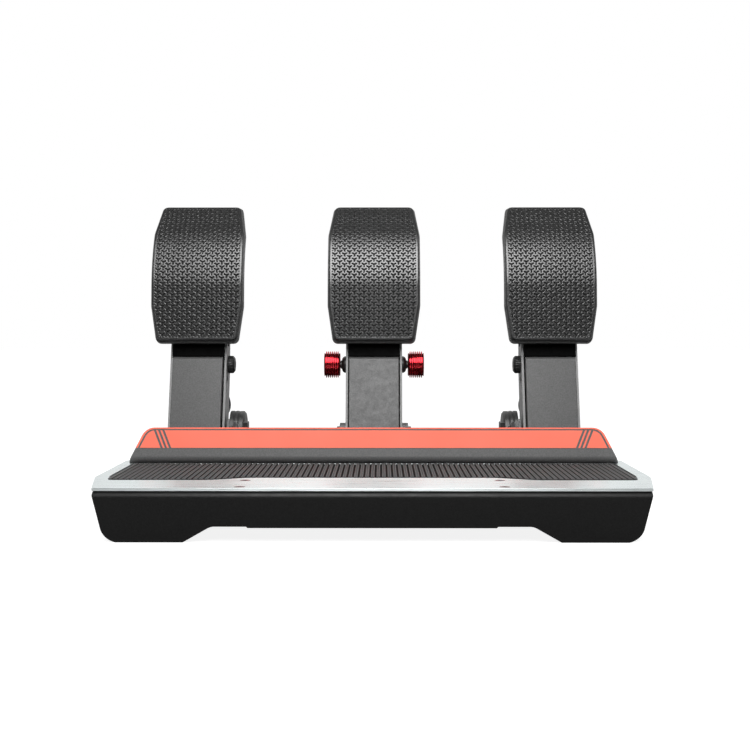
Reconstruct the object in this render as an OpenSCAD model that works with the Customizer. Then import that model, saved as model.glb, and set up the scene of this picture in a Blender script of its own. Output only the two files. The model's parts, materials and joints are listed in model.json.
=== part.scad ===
// Sim racing pedal set: clutch, brake and throttle on a folded base with a heel plate.
// Millimetres, +Z up. The driver sits on the -Y side and pushes the pads towards +Y.

/* [Layout] */
// Distance between neighbouring pedal centres
pedal_gap = 125; // [118:1:135]
// Lean of each arm away from the driver at rest, degrees
arm_lean = 17.2; // [14:0.1:20]
// Distance from the base's front edge to the pedal pivots
pivot_back = 185.7; // [184:0.1:194]
// Height of the pedal pivots above the deck
pivot_rise = 18.1; // [17.5:0.1:21]
// Distance from a pivot to the cross bolt that drives the strut
bolt_reach = 49.1; // [47:0.1:52]
// Distance from the front edge to the rear pins
rear_pin_back = 290; // [288:0.5:298]
// Height of the rear pins above the deck
rear_pin_rise = 10; // [10:0.5:14]

/* [Base] */
// Widest part of the deck
base_w = 335; // [328:1:350]
// Width of the deck along its front edge
base_front_w = 315; // [304:1:320]
// Depth of the base from front to back
base_d = 305; // [303:1:320]
// Distance over which the front corners widen
corner_run = 54; // [40:1:70]
// Cut of the rear corners
rear_corner = 14; // [8:1:24]
// Height of the deck above the floor
deck_h = 29.8; // [26:0.2:32]
// Thickness of the folded steel sheet
sheet_t = 2; // [1.5:0.1:2.1]
// Inward lean of the skirts, degrees
wall_lean = 13; // [6:0.5:18]
// Outside radius of the bends between deck and front and rear skirts
bend_r = 4; // [3.2:0.1:5]
// Outside radius of the bends between deck and side skirts
side_bend_r = 2.3; // [2.2:0.1:3]
// Height of the notch between the feet of the front and rear skirts
notch_h = 9.3; // [6:0.1:12]
// Half-distance between the inner ends of the feet
foot_in = 107; // [100:1:112]
// Half-distance between the outer ends of the feet
foot_out = 143; // [132:1:144]

/* [Heel plate] */
// Thickness of the brushed plate
plate_t = 1.6; // [1.4:0.1:2.4]
// Depth of the plate from front to back
plate_d = 147; // [144:0.5:150]
// Depth of the pocket that holds the mat
pocket_t = 1.1; // [0.8:0.1:1.2]
// Half-width of the mat
mat_half = 159; // [150:1:160]
// Distance from the front edge to the mat's ends
mat_front = 40; // [36:1:44]
// How far the mat steps back in the middle
mat_step = 11; // [8:1:13]
// Distance between mat ribs
rib_pitch = 3.4; // [3.2:0.02:5]
// Height of the ribs above the mat's floor
rib_h = 0.9; // [0.5:0.1:1.2]

/* [Heel stop] */
// Distance from the front edge to the heel stop's bend
stop_front = 124.6; // [124:0.1:127]
// Height of the heel stop above the heel plate
stop_h = 23.5; // [20:0.5:26]
// Lean of its face away from the driver, degrees
stop_lean = 20; // [12:1:24]
// Width along its foot
stop_w = 325; // [318:1:327]
// Width along its top edge, before rounding
stop_top_w = 302.5; // [296:0.5:310]
// Radius of its top corners
stop_corner_r = 9; // [5:0.5:12]
// Height of the coloured trim on the face
trim_h = 14; // [11:0.5:15]

/* [Pedal arms] */
// Outside width of an arm over its side plates
arm_w = 40; // [38:0.5:42]
// Thickness of a side plate
side_t = 1.6; // [1.5:0.1:1.9]
// Width of the front cover plate
cover_w = 35.4; // [34:0.2:36]
// Thickness of the front cover plate
cover_t = 5; // [4:0.5:6]
// Distance from the pivot to the face of the cover plate
face_off = 15; // [14.5:0.1:16]
// Diameter of the pivot shaft
shaft_d = 10; // [9:0.5:11]
// Diameter of the cross bolt
bolt_d = 8; // [7:0.5:8.5]

/* [Pads] */
// Width of a pad between its shoulders
pad_w = 64.4; // [58:0.2:70]
// Width of a pad along its ends
pad_end_w = 56.8; // [50:0.2:58]
// Length of a pad from end to end
pad_l = 103; // [96:1:106]
// Length of the tapered part at each end
pad_taper = 25; // [18:1:30]
// Radius of the bend in the middle of the pad face
pad_r = 75; // [66:1:90]
// Slope of the pad's flat lower part towards the arm, degrees
pad_low = 12.2; // [8:0.1:14]
// Slope of the pad's flat upper part towards the arm, degrees
pad_high = 21.8; // [18:0.1:24]
// Height of the pad's middle above the pivot, along the arm
pad_mid = 111.5; // [110:0.5:114]
// Distance from the pivot to the crown of the pad face
pad_crown = 34.3; // [33.5:0.1:36]
// Thickness of the rubber cover
rubber_t = 4; // [3:0.1:4.5]
// Thickness of the metal plate under the rubber
pad_plate_t = 3; // [2.4:0.1:3.4]

/* [Struts] */
// Diameter of the sliding rods
rod_d = 10; // [9:0.5:10.5]
// Largest pedal travel that the struts leave room for, degrees
travel = 20; // [12:1:20]
// Outside diameter of the guide sleeve inside the spring
sleeve_d = 15; // [14:0.2:15.6]
// Outside diameter of the coil springs and elastomers
spring_d = 26; // [25:0.5:28]
// Diameter of the spring wire
wire_d = 2.6; // [2.2:0.1:2.8]
// Turns of each spring
turns = 6; // [5:1:6]

/* [Knobs] */
// Diameter of the brake's adjuster knobs
knob_d = 19; // [16:0.5:20]
// Length of an adjuster knob
knob_l = 11.4; // [10:0.2:13]
// Number of grooves around a knob
knob_grooves = 6; // [4:1:7]

/* [Hidden] */
$fn = 72;
e = 0.01;
big = 700;
run_fit = 0.05;
open_fit = 0.75;
face_gap = 0.4;
curve_gap = 0.3;
pivot_z = deck_h + pivot_rise;
rear_z = deck_h + rear_pin_rise;
plate_z = deck_h + plate_t;
half = arm_w / 2;
inner = half - side_t;
// Front edge of the side plates, measured from the pivot line
edge_u = cover_t - face_off;
// Place of the cross bolt in the base's frame
bolt_y = pivot_back + bolt_reach * sin(arm_lean);
bolt_z = pivot_z + bolt_reach * cos(arm_lean);
// Length and fall of a strut between the cross bolt and the rear pin
strut_l = norm([rear_pin_back - bolt_y, bolt_z - rear_z]);
strut_fall = atan2(bolt_z - rear_z, rear_pin_back - bolt_y);
stroke = bolt_reach * travel * PI / 180;
// Stations along a strut, measured from the cross bolt
collar_0 = 13.5;
collar_1 = 20.5;
sleeve_0 = collar_1 + stroke + 3;
seat_0 = strut_l - 45;
seat_1 = seat_0 + 4;
tube_r = 10;
eye_r = rear_pin_rise - 1;
bore_end = strut_l - eye_r - 5;
rod_end = bore_end - stroke - 1.5;
spring_l = seat_0 - collar_1;
// Lower end of the pad bracket, a thin spine between the cover plate and the cross block
spine_t = 1;
// Cheeks that carry a pedal, between its side plates
cheek_t = 3;
bush_lip = 1;
cheek_out = inner - face_gap - bush_lip;
cheek_in = cheek_out - cheek_t;
cheek_front = pivot_back - 13.5;
bush_r = shaft_d / 2 + 1.5;
ear_r = -edge_u - spine_t - face_gap;
rear_r = rear_pin_rise - 1.5;
cheek_back = rear_pin_back + rear_r + 1;
pin_r = 4;
pin_head_r = rear_pin_rise - cheek_t - 1;
flange_w = 14;
// Round end of a side plate at the pivot
side_end_r = 11;
// Angle sensors on brackets beside the outer pedals
bracket_t = 2;
bracket_x = half + 1.8;
cap_x = bracket_x + bracket_t;
cap_l = 10.5;
cap_r = 14.6;
cap_bore_r = 12;
gusset_y = pivot_back - cap_r - 3.6;
bend_flats = 6;
// Back of the mat, where the heel stop's bend comes down to the ribs
mat_back = stop_front + 1.8;
// Bolts that hold the base to a rig, and the posts around them
post_x = pedal_gap / 2;
post_y0 = 166;
post_y1 = base_d - 26;
post_r = 7;
hole_r = 3.3;
foot_t = 3;
// Controller
case_w = pedal_gap - 2 * (cap_x + cap_l + 7);
case_d = 50;
case_h = 13.5;
case_t = 2;
case_y = 196;
case_x = pedal_gap / 2;
lid_t = 1.6;
board_rise = 1.5;
board_t = 1.6;
usb_w = 12;
usb_h = 7.2;
usb_l = 16;
usb_x = case_x + case_w / 2 - 12;

pedals = [-1, 0, 1];

// Helpers

function unit(v) = v / norm(v);

// Points of the arc that rounds corner q of a polygon, between its neighbours p and s
function corner_arc(p, q, s, r, n = 6) =
  let (a = unit(p - q))
  let (b = unit(s - q))
  let (h = acos(a * b) / 2)
  let (c = q + unit(a + b) * r / sin(h))
  let (t0 = q + a * r / tan(h) - c)
  let (t1 = q + b * r / tan(h) - c)
  let (w0 = atan2(t0[1], t0[0]))
  let (dw = atan2(t0[0] * t1[1] - t0[1] * t1[0], t0 * t1))
  [for (i = [0 : n]) c + r * [cos(w0 + dw * i / n), sin(w0 + dw * i / n)]];

// A polygon's points with each corner rounded to its radius
function rounded(pts, rads) =
  [for (i = [0 : len(pts) - 1])
    let (k = len(pts))
    each rads[i] > 0
      ? corner_arc(pts[(i + k - 1) % k], pts[i], pts[(i + 1) % k], rads[i])
      : [pts[i]]];

// Mirror a half outline, given for +X from front to back, into a whole one
function both_sides(pts) = concat(
  pts,
  [for (i = [len(pts) - 1 : -1 : 0]) [-pts[i][0], pts[i][1]]]);

// Everything is drawn from the base's front edge, then centred on the origin
module in_frame() {
  translate([0, -base_d / 2, 0]) children();
}

module at_pedal(i) {
  translate([i * pedal_gap, 0, 0]) children();
}

// Arm frame: origin at the pivot, y through the arm towards the back, z up along the arm
module in_arm() {
  translate([0, pivot_back, pivot_z]) rotate([-arm_lean, 0, 0]) children();
}

// Strut frame: origin at the cross bolt, y down along the strut to the rear pin
module in_strut() {
  translate([0, bolt_y, bolt_z]) rotate([-strut_fall, 0, 0]) children();
}

// A side profile drawn as (y, z), thick between x0 and x1
module side_slab(x0, x1) {
  translate([x0, 0, 0]) rotate([90, 0, 90]) linear_extrude(x1 - x0) children();
}

// A front profile drawn as (x, z), running from y0 to y1
module front_slab(y0, y1) {
  translate([0, y1, 0]) rotate([90, 0, 0]) linear_extrude(y1 - y0) children();
}

// A round bar along X
module bar_x(r, x0, x1, y = 0, z = 0) {
  translate([x0, y, z]) rotate([0, 90, 0]) cylinder(r = r, h = x1 - x0);
}

// A round bar along Y
module bar_y(r, y0, y1) {
  translate([0, y0, 0]) rotate([-90, 0, 0]) cylinder(r = r, h = y1 - y0);
}

// The same piece on both sides of a pedal
module both_x() {
  children();
  mirror([1, 0, 0]) children();
}

// Base

deck = concat(
  [[-base_front_w / 2, 0], [base_front_w / 2, 0]],
  [[base_w / 2, corner_run], [base_w / 2, base_d - rear_corner]],
  [[base_w / 2 - rear_corner, base_d], [rear_corner - base_w / 2, base_d]],
  [[-base_w / 2, base_d - rear_corner], [-base_w / 2, corner_run]]);

// Points of an outline whose edges move inwards, each by its own distance, with mitred corners
function inset(pts, d) =
  [for (i = [0 : len(pts) - 1])
    let (k = len(pts))
    let (a = unit(pts[i] - pts[(i + k - 1) % k]))
    let (b = unit(pts[(i + 1) % k] - pts[i]))
    pts[i] + (d[(i + k - 1) % k] * b - d[i] * a) / (a[0] * b[1] - a[1] * b[0])];

// Share of a size that a leaning skirt's corner is set in by
lean_in = (1 + sin(wall_lean)) / cos(wall_lean);

// How far a skirt with bend radius r lies inside its edge of the deck, h below the deck
function skirt_in(r, h) =
  h < r * (1 + sin(wall_lean))
    ? r * lean_in - sqrt(r * r - pow(r - h, 2))
    : h * tan(wall_lean);

// Solid under the deck and inside the leaning skirts, set in by t and reaching down to z0; the bends
// between deck and skirts are rounded in short flats
module tray_solid(t, z0) {
  turn = 90 + wall_lean;
  bend = [for (j = [0 : bend_flats]) (bend_r - t) * (1 - cos(turn * j / bend_flats))];
  depth = concat(bend, [deck_h - t - z0]);
  k = len(deck);
  m = len(depth);
  skin = [for (h = depth)
    let (front = t * lean_in + skirt_in(bend_r - t, h))
    let (side = t * lean_in + skirt_in(side_bend_r - t, h))
    for (q = inset(deck, [for (i = [0 : k - 1]) i % (k / 2) == 0 ? front : side]))
      [q[0], q[1], deck_h - t - h]];
  walls = [for (j = [0 : m - 2])
    for (i = [0 : k - 1])
      let (n = (i + 1) % k)
      [j * k + i, j * k + n, (j + 1) * k + n, (j + 1) * k + i]];
  top = [[for (i = [k - 1 : -1 : 0]) i]];
  bottom = [[for (i = [0 : k - 1]) (m - 1) * k + i]];
  polyhedron(points = skin, faces = concat(top, walls, bottom));
}

// Outline of what the skirts lose between their feet
module notch_profile() {
  inside = foot_in - 1.72 * notch_h;
  step = inside - 20;
  lip = 0.8;
  polygon(rounded(
    both_sides([
      [foot_in + lip, -lip / 2],
      [inside, notch_h],
      [step, notch_h],
      [step - lip, notch_h - lip]]),
    [0, 8, 0, 0, 0, 0, 8, 0]));
}

// Outline of what they lose outside a foot: a round corner that runs into the skirt's slanted end
module foot_end_profile() {
  k = len(deck);
  set_in = [for (i = [0 : k - 1]) skirt_in(i % (k / 2) == 0 ? bend_r : side_bend_r, deck_h)];
  end_x = inset(deck, set_in)[1][0];
  slope = (base_front_w / 2 - end_x) / deck_h;
  r = max(3, (end_x - foot_out) / (sqrt(1 + slope * slope) - slope));
  dip = 0.2;
  difference() {
    translate([foot_out, -1]) square([big, r - r * sin(atan(slope)) - dip + 1]);
    translate([foot_out, r - dip]) circle(r = r);
  }
}

module base_tray() {
  color([0.1, 0.1, 0.1]) in_frame()
    difference() {
      tray_solid(0, 0);
      tray_solid(sheet_t, -1);
      front_slab(-5, base_d + 5) notch_profile();
      both_x() front_slab(-5, base_d + 5) foot_end_profile();
      at_posts() translate([0, 0, deck_h - 5]) cylinder(r = hole_r, h = 10);
      for (i = pedals) at_pedal(i) at_cheek_bolts() translate([0, 0, -6]) cylinder(r = 2.5, h = 12);
    }
}

// Heel plate and mat

function plate_outline() =
  let (w0 = base_front_w / 2)
  let (w1 = base_w / 2)
  rounded(
    both_sides([[w0, 2.4], [w1, corner_run], [w1, plate_d]]),
    [2, 60, 3, 3, 60, 2]);

// Mat outline, grown by g on every side
function mat_outline(g) =
  let (a = pedal_gap * 0.6)
  rounded(
    both_sides([
      [a, mat_front + mat_step - g],
      [a + 22, mat_front - g],
      [mat_half - 3 + g, mat_front - g],
      [mat_half + g, mat_front + 20],
      [mat_half + g, mat_back + g]]),
    [20, 20, 4, 20, 2, 2, 20, 4, 20, 20]);

screw_y = [9, 38];
// Depth of the countersunk heads
sunk_t = 1.2;

module at_heel_screws() {
  for (sx = [-1, 1])
    for (y = screw_y)
      translate([sx * pedal_gap * 0.6, y, plate_z]) children();
}

module heel_plate() {
  color([0.8, 0.8, 0.82]) in_frame()
    difference() {
      translate([0, 0, deck_h]) linear_extrude(plate_t) polygon(plate_outline());
      translate([0, 0, plate_z - pocket_t]) linear_extrude(10) polygon(mat_outline(0.6));
      at_heel_screws() translate([0, 0, -sunk_t]) cylinder(r1 = 1.6, r2 = 3.2, h = sunk_t);
      at_heel_screws() translate([0, 0, -9]) cylinder(r = 1.6, h = 10);
      at_stop_screws() translate([0, 0, -9]) cylinder(r = 1.6, h = 9 + e);
    }
}

module heel_screws() {
  color([0.2, 0.2, 0.2]) in_frame()
    at_heel_screws() {
      difference() {
        translate([0, 0, -sunk_t]) cylinder(r1 = 1.6, r2 = 3.2, h = sunk_t);
        translate([0, 0, -0.8]) cylinder(r = 1.1, h = 3, $fn = 6);
      }
      translate([0, 0, -plate_t]) cylinder(r = 1.6, h = plate_t - sunk_t + e);
    }
}

// Depth of the mat's floor below the plate's face
mat_sink = 0.4;

module heel_mat() {
  floor_z = plate_z - pocket_t;
  base_z = pocket_t - mat_sink;
  n = floor(mat_half / rib_pitch);
  comb = [for (i = [-n : n]) each [
    [i * rib_pitch - 1.25, base_z],
    [i * rib_pitch - 1.05, base_z + rib_h],
    [i * rib_pitch + 1.05, base_z + rib_h],
    [i * rib_pitch + 1.25, base_z]]];
  color([0.16, 0.16, 0.16]) in_frame()
    translate([0, 0, floor_z])
      intersection() {
        linear_extrude(base_z + rib_h) polygon(mat_outline(0));
        front_slab(0, plate_d)
          polygon(concat([[-big / 2, 0], [-big / 2, base_z]], comb, [[big / 2, base_z], [big / 2, 0]]));
      }
}

// Heel stop

stop_r = 4;
stop_c = [stop_front + stop_r, plate_z + stop_r];

// Place a child on the heel stop's face: x across, y up along the face, z out of it
module on_stop_face() {
  translate([0, stop_c[0] - stop_r * cos(stop_lean), stop_c[1] + stop_r * sin(stop_lean)])
    rotate([90 - stop_lean, 0, 0]) children();
}

stop_face_l = (stop_h - stop_r - stop_r * sin(stop_lean)) / cos(stop_lean);
// Distance from the face's lower edge down to the corner where it would meet the plate
stop_foot_l = stop_r * (1 + sin(stop_lean)) / cos(stop_lean);
stop_slope = (stop_w - stop_top_w) / 2 / (stop_face_l + stop_foot_l);

// Front outline of the face, grown by g; x across, y up along the face
module stop_face(g, y0) {
  t = stop_top_w / 2 + g;
  b = t + stop_slope * (stop_face_l + g - y0);
  polygon(rounded(
    [[b, y0], [t, stop_face_l + g], [-t, stop_face_l + g], [-b, y0]],
    [0, stop_corner_r + g, stop_corner_r + g, 0]));
}

stop_screw_x = [pedal_gap * 1.2, pedal_gap * 0.5];

module at_stop_screws() {
  for (sx = [-1, 1])
    for (x = stop_screw_x)
      translate([sx * x, stop_front + 15.5, plate_z]) children();
}

// Side section of the fold: flange, bend and leaning face
module stop_section() {
  out = [-cos(stop_lean), sin(stop_lean)];
  up = [sin(stop_lean), cos(stop_lean)];
  foot = stop_c + stop_r * out;
  q = foot - up * stop_foot_l;
  top = foot + up * stop_face_l;
  back = plate_d - 1;
  polygon(rounded(
    [
      [back, plate_z], q, top, top - sheet_t * out,
      q + sheet_t * ([0, 1] - out) / (1 - out[1]), [back, plate_z + sheet_t]],
    [0, stop_r, 0, 0, stop_r - sheet_t, 0]));
}

module heel_stop() {
  color([0.32, 0.32, 0.33]) in_frame()
    difference() {
      side_slab(-stop_w / 2 - 2, stop_w / 2 + 2) stop_section();
      on_stop_face()
        translate([0, 0, -plate_d / 4])
          linear_extrude(plate_d / 2)
            difference() {
              translate([-big / 2, -5 * stop_r]) square([big, 3 * stop_h]);
              stop_face(0, -6 * stop_r);
            }
      at_stop_screws() translate([0, 0, -1]) cylinder(r = 1.6, h = 9);
    }
}

module heel_stop_trim() {
  y0 = stop_face_l - trim_h;
  line = 0.9;
  film_t = 0.25;
  color([1, 0.4, 0.27]) in_frame()
    on_stop_face()
      linear_extrude(film_t)
        difference() {
          stop_face(0, y0);
          difference() {
            stop_face(-1, y0 - 5);
            stop_face(-1 - line, y0 - 5);
          }
          for (sx = [-1, 1])
            for (k = [0 : 2])
              translate([sx * (stop_top_w / 2 - 5.8 - 2.8 * k), stop_face_l - 1.6, 0])
                rotate([0, 0, sx * -23])
                  translate([-0.7, -2 * trim_h, 0]) square([1.4, 2 * trim_h]);
        }
}

module heel_stop_screws() {
  color([0.12, 0.12, 0.12]) in_frame()
    at_stop_screws() {
      difference() {
        translate([0, 0, sheet_t]) cylinder(r = 3, h = 2);
        translate([0, 0, sheet_t + 0.8]) cylinder(r = 1.2, h = 3, $fn = 6);
      }
      translate([0, 0, -plate_t]) cylinder(r = 1.6, h = plate_t + sheet_t);
    }
}

// Posts, feet and controller

module at_posts() {
  for (sx = [-1, 1])
    for (y = [post_y0, post_y1])
      translate([sx * post_x, y, 0]) children();
}

module mount_posts() {
  color([0.55, 0.55, 0.57]) in_frame()
    at_posts()
      difference() {
        union() {
          translate([0, 0, foot_t]) cylinder(r = post_r, h = deck_h - sheet_t - foot_t);
          translate([0, 0, foot_t]) cylinder(r = 13, h = 2);
        }
        translate([0, 0, -1]) cylinder(r = hole_r, h = deck_h + 5);
      }
}

module rubber_feet() {
  color([0.08, 0.08, 0.08]) in_frame()
    at_posts()
      difference() {
        cylinder(r = 13, h = foot_t);
        translate([0, 0, -1]) cylinder(r = hole_r, h = foot_t + 2);
      }
}

usb_z = deck_h + case_t + board_rise + board_t;

module controller_case() {
  color([0.13, 0.13, 0.13]) in_frame()
    difference() {
      translate([case_x - case_w / 2, case_y, deck_h]) cube([case_w, case_d, case_h]);
      translate([case_x - case_w / 2 + case_t, case_y + case_t, deck_h + case_t])
        cube([case_w - 2 * case_t, case_d - 2 * case_t, case_h]);
      translate([usb_x - usb_w / 2, case_y + case_d - 2 * case_t, usb_z])
        cube([usb_w, 4 * case_t, usb_h]);
    }
}

module controller_lid() {
  color([0.16, 0.16, 0.16]) in_frame()
    difference() {
      union() {
        translate([case_x - case_w / 2, case_y, deck_h + case_h]) cube([case_w, case_d, lid_t]);
        translate([case_x - case_w / 2 + case_t, case_y + case_t, deck_h + case_h - 1])
          cube([case_w - 2 * case_t, case_d - 2 * case_t, 1 + e]);
      }
      for (sx = [-1, 1])
        for (y = [case_y + 5, case_y + case_d - 5])
          translate([case_x + sx * (case_w / 2 - 5), y, deck_h + case_h + 1]) cylinder(r = 2, h = 3);
    }
}

module sensor_board() {
  bar_x(cap_bore_r, cap_x + cap_l - 2 - board_t, cap_x + cap_l - 2, pivot_back, pivot_z);
}

// Controller board on its ledge, the socket, and one board behind each angle sensor
module circuit_boards() {
  color([0.1, 0.32, 0.18]) in_frame() {
    translate([case_x - case_w / 2 + case_t, case_y + case_t, deck_h + case_t + board_rise])
      cube([case_w - 2 * case_t, case_d - 2 * case_t, board_t]);
    for (y = [case_y + 8, case_y + case_d - 12])
      translate([case_x, y, deck_h + case_t]) cylinder(r = 3, h = board_rise);
    translate([usb_x - usb_w / 2, case_y + case_d - usb_l, usb_z])
      difference() {
        cube([usb_w, usb_l, usb_h]);
        translate([1.6, 4, 1.4]) cube([usb_w - 3.2, usb_l, usb_h - 2.8]);
      }
    at_pedal(-1) sensor_board();
    at_pedal(1) mirror([1, 0, 0]) sensor_board();
  }
}

// Cheeks and fixed hardware of a pedal

module cheek_profile() {
  waist = deck_h + 9;
  difference() {
    union() {
      polygon([
        [cheek_front, deck_h], [cheek_front, deck_h + 5], [pivot_back - ear_r, pivot_z],
        [pivot_back + ear_r, pivot_z], [pivot_back + 22, waist], [rear_pin_back - 24, waist],
        [rear_pin_back - rear_r, rear_z], [rear_pin_back + rear_r, rear_z], [cheek_back, deck_h]]);
      translate([pivot_back, pivot_z]) circle(r = ear_r);
      translate([rear_pin_back, rear_z]) circle(r = rear_r);
    }
    translate([pivot_back, pivot_z]) circle(r = bush_r);
    translate([rear_pin_back, rear_z]) circle(r = pin_r);
  }
}

// Cheek bolts: two behind the pivot and one ahead of the rear pin, clear of the deck's rear bend
bolt_back = [21, 50];
bolt_ahead = 18;
bolt_edge = 30;
bolt_ys = [pivot_back + bolt_back[0], pivot_back + bolt_back[1],
  min(rear_pin_back - bolt_ahead, base_d - bolt_edge)];

module at_cheek_bolts() {
  for (sx = [-1, 1])
    for (y = bolt_ys)
      translate([sx * (cheek_out + flange_w / 2), y, deck_h]) children();
}

module cheeks() {
  both_x() {
    difference() {
      union() {
        side_slab(cheek_in, cheek_out) cheek_profile();
        translate([cheek_out - e, cheek_front, deck_h])
          cube([flange_w + e, cheek_back - cheek_front, cheek_t]);
      }
      for (y = bolt_ys)
        translate([cheek_out + flange_w / 2, y, deck_h - 1]) cylinder(r = 2.5, h = 9);
    }
  }
}

// Angle bracket that stands on the cheek's flange: a side for the sensor and a pointed gusset in front
module sensor_bracket() {
  tip = cap_x + cap_l - 0.8;
  difference() {
    side_slab(bracket_x, cap_x)
      polygon([
        [gusset_y, deck_h], [gusset_y, pivot_z - 2], [pivot_back - 8, pivot_z + 8],
        [pivot_back + 8, pivot_z + 8], [pivot_back + 14, deck_h + 6], [pivot_back + 14, deck_h]]);
    bar_x(shaft_d / 2 + face_gap, bracket_x - 1, cap_x + 1, pivot_back, pivot_z);
  }
  front_slab(gusset_y, gusset_y + bracket_t)
    polygon([
      [bracket_x, deck_h], [bracket_x, pivot_z], [cap_x + 5, pivot_z + 8],
      [tip, pivot_z + 2], [tip, deck_h]]);
}

module clutch_cheeks() {
  color([0.72, 0.72, 0.74]) in_frame()
    at_pedal(-1)
      union() {
        cheeks();
        sensor_bracket();
      }
}

module brake_cheeks() {
  color([0.72, 0.72, 0.74]) in_frame() at_pedal(0) cheeks();
}

module throttle_cheeks() {
  color([0.72, 0.72, 0.74]) in_frame()
    at_pedal(1)
      mirror([1, 0, 0])
        union() {
          cheeks();
          sensor_bracket();
        }
}

module cheek_bolts() {
  color([0.1, 0.1, 0.1]) in_frame()
    for (i = pedals)
      at_pedal(i)
        at_cheek_bolts() {
          difference() {
            translate([0, 0, cheek_t]) cylinder(r = 4.2, h = 3.4);
            translate([0, 0, cheek_t + 1.2]) cylinder(r = 2.2, h = 4, $fn = 6);
          }
          translate([0, 0, -sheet_t]) cylinder(r = 2.5, h = sheet_t + cheek_t);
          translate([0, 0, -sheet_t - 4]) cylinder(r = 4.4, h = 4, $fn = 6);
        }
}

module pivot_bushes() {
  color([0.2, 0.19, 0.18]) in_frame()
    for (i = pedals)
      at_pedal(i)
        both_x()
          difference() {
            union() {
              bar_x(bush_r, cheek_in, cheek_out + e, pivot_back, pivot_z);
              bar_x(bush_r + 2, cheek_out, cheek_out + bush_lip, pivot_back, pivot_z);
            }
            bar_x(shaft_d / 2 + run_fit, 0, cheek_out + 5, pivot_back, pivot_z);
          }
}

module rear_pins() {
  color([0.62, 0.62, 0.64]) in_frame()
    for (i = pedals)
      at_pedal(i) {
        bar_x(pin_r, -cheek_out, cheek_out, rear_pin_back, rear_z);
        bar_x(pin_head_r, cheek_out, cheek_out + 3, rear_pin_back, rear_z);
        translate([-cheek_out - 3, rear_pin_back, rear_z])
          rotate([0, 90, 0]) cylinder(r = pin_head_r, h = 3, $fn = 6);
      }
}

// Angle sensors cover the inner shaft ends of the outer pedals
module sensor_cap() {
  difference() {
    union() {
      translate([cap_x, pivot_back, pivot_z])
        rotate([0, 90, 0])
          rotate_extrude()
            polygon([
              [0, 0], [cap_r, 0], [cap_r, 2.6], [cap_r - 0.6, 2.8], [cap_r - 0.6, 3.4], [cap_r, 3.6],
              [cap_r, 5.6], [cap_r - 0.6, 5.8], [cap_r - 0.6, 6.2], [cap_r - 0.2, 6.4],
              [cap_r - 0.2, cap_l - 1.2], [cap_r - 1.6, cap_l], [0, cap_l]]);
      translate([cap_x + cap_l - 0.4, pivot_back - cap_r - 3, pivot_z - 2]) cube([3.2, 12, 9.5]);
    }
    bar_x(cap_bore_r, cap_x - 1, cap_x + cap_l - 2, pivot_back, pivot_z);
  }
}

module sensor_caps() {
  color([0.1, 0.1, 0.11]) in_frame() {
    at_pedal(-1) sensor_cap();
    at_pedal(1) mirror([1, 0, 0]) sensor_cap();
  }
}

// Arms, drawn in the arm frame

module side_profile() {
  difference() {
    union() {
      polygon([
        [edge_u, -5], [edge_u, pad_mid + 8], [-1, pad_mid + 8], [8, bolt_reach + 12],
        [11, bolt_reach], [12, 14], [side_end_r, 3], [0, -side_end_r]]);
      circle(r = side_end_r);
      translate([0, bolt_reach]) circle(r = 11);
    }
    translate([edge_u - 30, -50]) square([30, 300]);
    circle(r = shaft_d / 2);
    translate([0, bolt_reach]) circle(r = bolt_d / 2);
    polygon(rounded([[edge_u + 3.5, 24], [5, bolt_reach - 11], [edge_u + 3.5, bolt_reach - 8]], [1, 2, 1]));
    polygon(rounded(
      [
        [edge_u + 3.5, bolt_reach + 12], [3, bolt_reach + 14],
        [-4, pad_mid - 4], [edge_u + 3.5, pad_mid - 4]],
      [1, 2, 1, 1]));
  }
}

module side_plates() {
  color([0.8, 0.8, 0.82]) in_arm()
    both_x() side_slab(inner, half) side_profile();
}

module front_plate() {
  top = bolt_reach + 2.2;
  color([0.34, 0.34, 0.35]) in_arm()
    side_slab(-cover_w / 2, cover_w / 2)
      polygon(rounded(
        [[-face_off, -14], [edge_u, -14], [edge_u, top], [-face_off, top]],
        [1, 0, 0, 3]));
}

// Cross block between the side plates, with a hub between the cheeks that is bored for the shaft
module arm_block() {
  hub = cheek_in - face_gap;
  foot = ear_r + 3;
  front = edge_u + spine_t;
  color([0.5, 0.5, 0.52]) in_arm()
    difference() {
      union() {
        side_slab(-inner, inner) polygon([[front, foot], [front, 28], [-2, 28], [5, 19], [5, foot]]);
        side_slab(-hub, hub)
          polygon([[front, -6], [front, foot + 2], [4.4, foot + 2], [7.6, 0], [-3, -6]]);
        bar_x(shaft_d / 2 + 3.5, -hub, hub);
      }
      bar_x(shaft_d / 2, -inner - 1, inner + 1);
    }
}

// Centre of the bend in the pad, behind its face
pad_c = [pad_r - pad_crown, pad_mid + 1.5];

// Side line of the pad at radius r about that centre: flat below, bent in the middle, flat above; low and
// high are the lengths of its flats
function pad_curve(r, low, high) =
  let (n = 24)
  let (arc = [for (i = [0 : n])
    let (w = -pad_low + (pad_low + pad_high) * i / n)
    pad_c + r * [-cos(w), sin(w)]])
  concat(
    [arc[0] - low * [-sin(pad_low), cos(pad_low)]],
    arc,
    [arc[n] + high * [sin(pad_high), cos(pad_high)]]);

function turned_round(pts) = [for (i = [len(pts) - 1 : -1 : 0]) pts[i]];

// The bent shell between two radii about the pad's centre
module pad_shell(r0, r1) {
  side_slab(-50, 50)
    polygon(concat(pad_curve(r1, pad_l / 2, pad_l / 3), turned_round(pad_curve(r0, pad_l / 2, pad_l / 3))));
}

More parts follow.
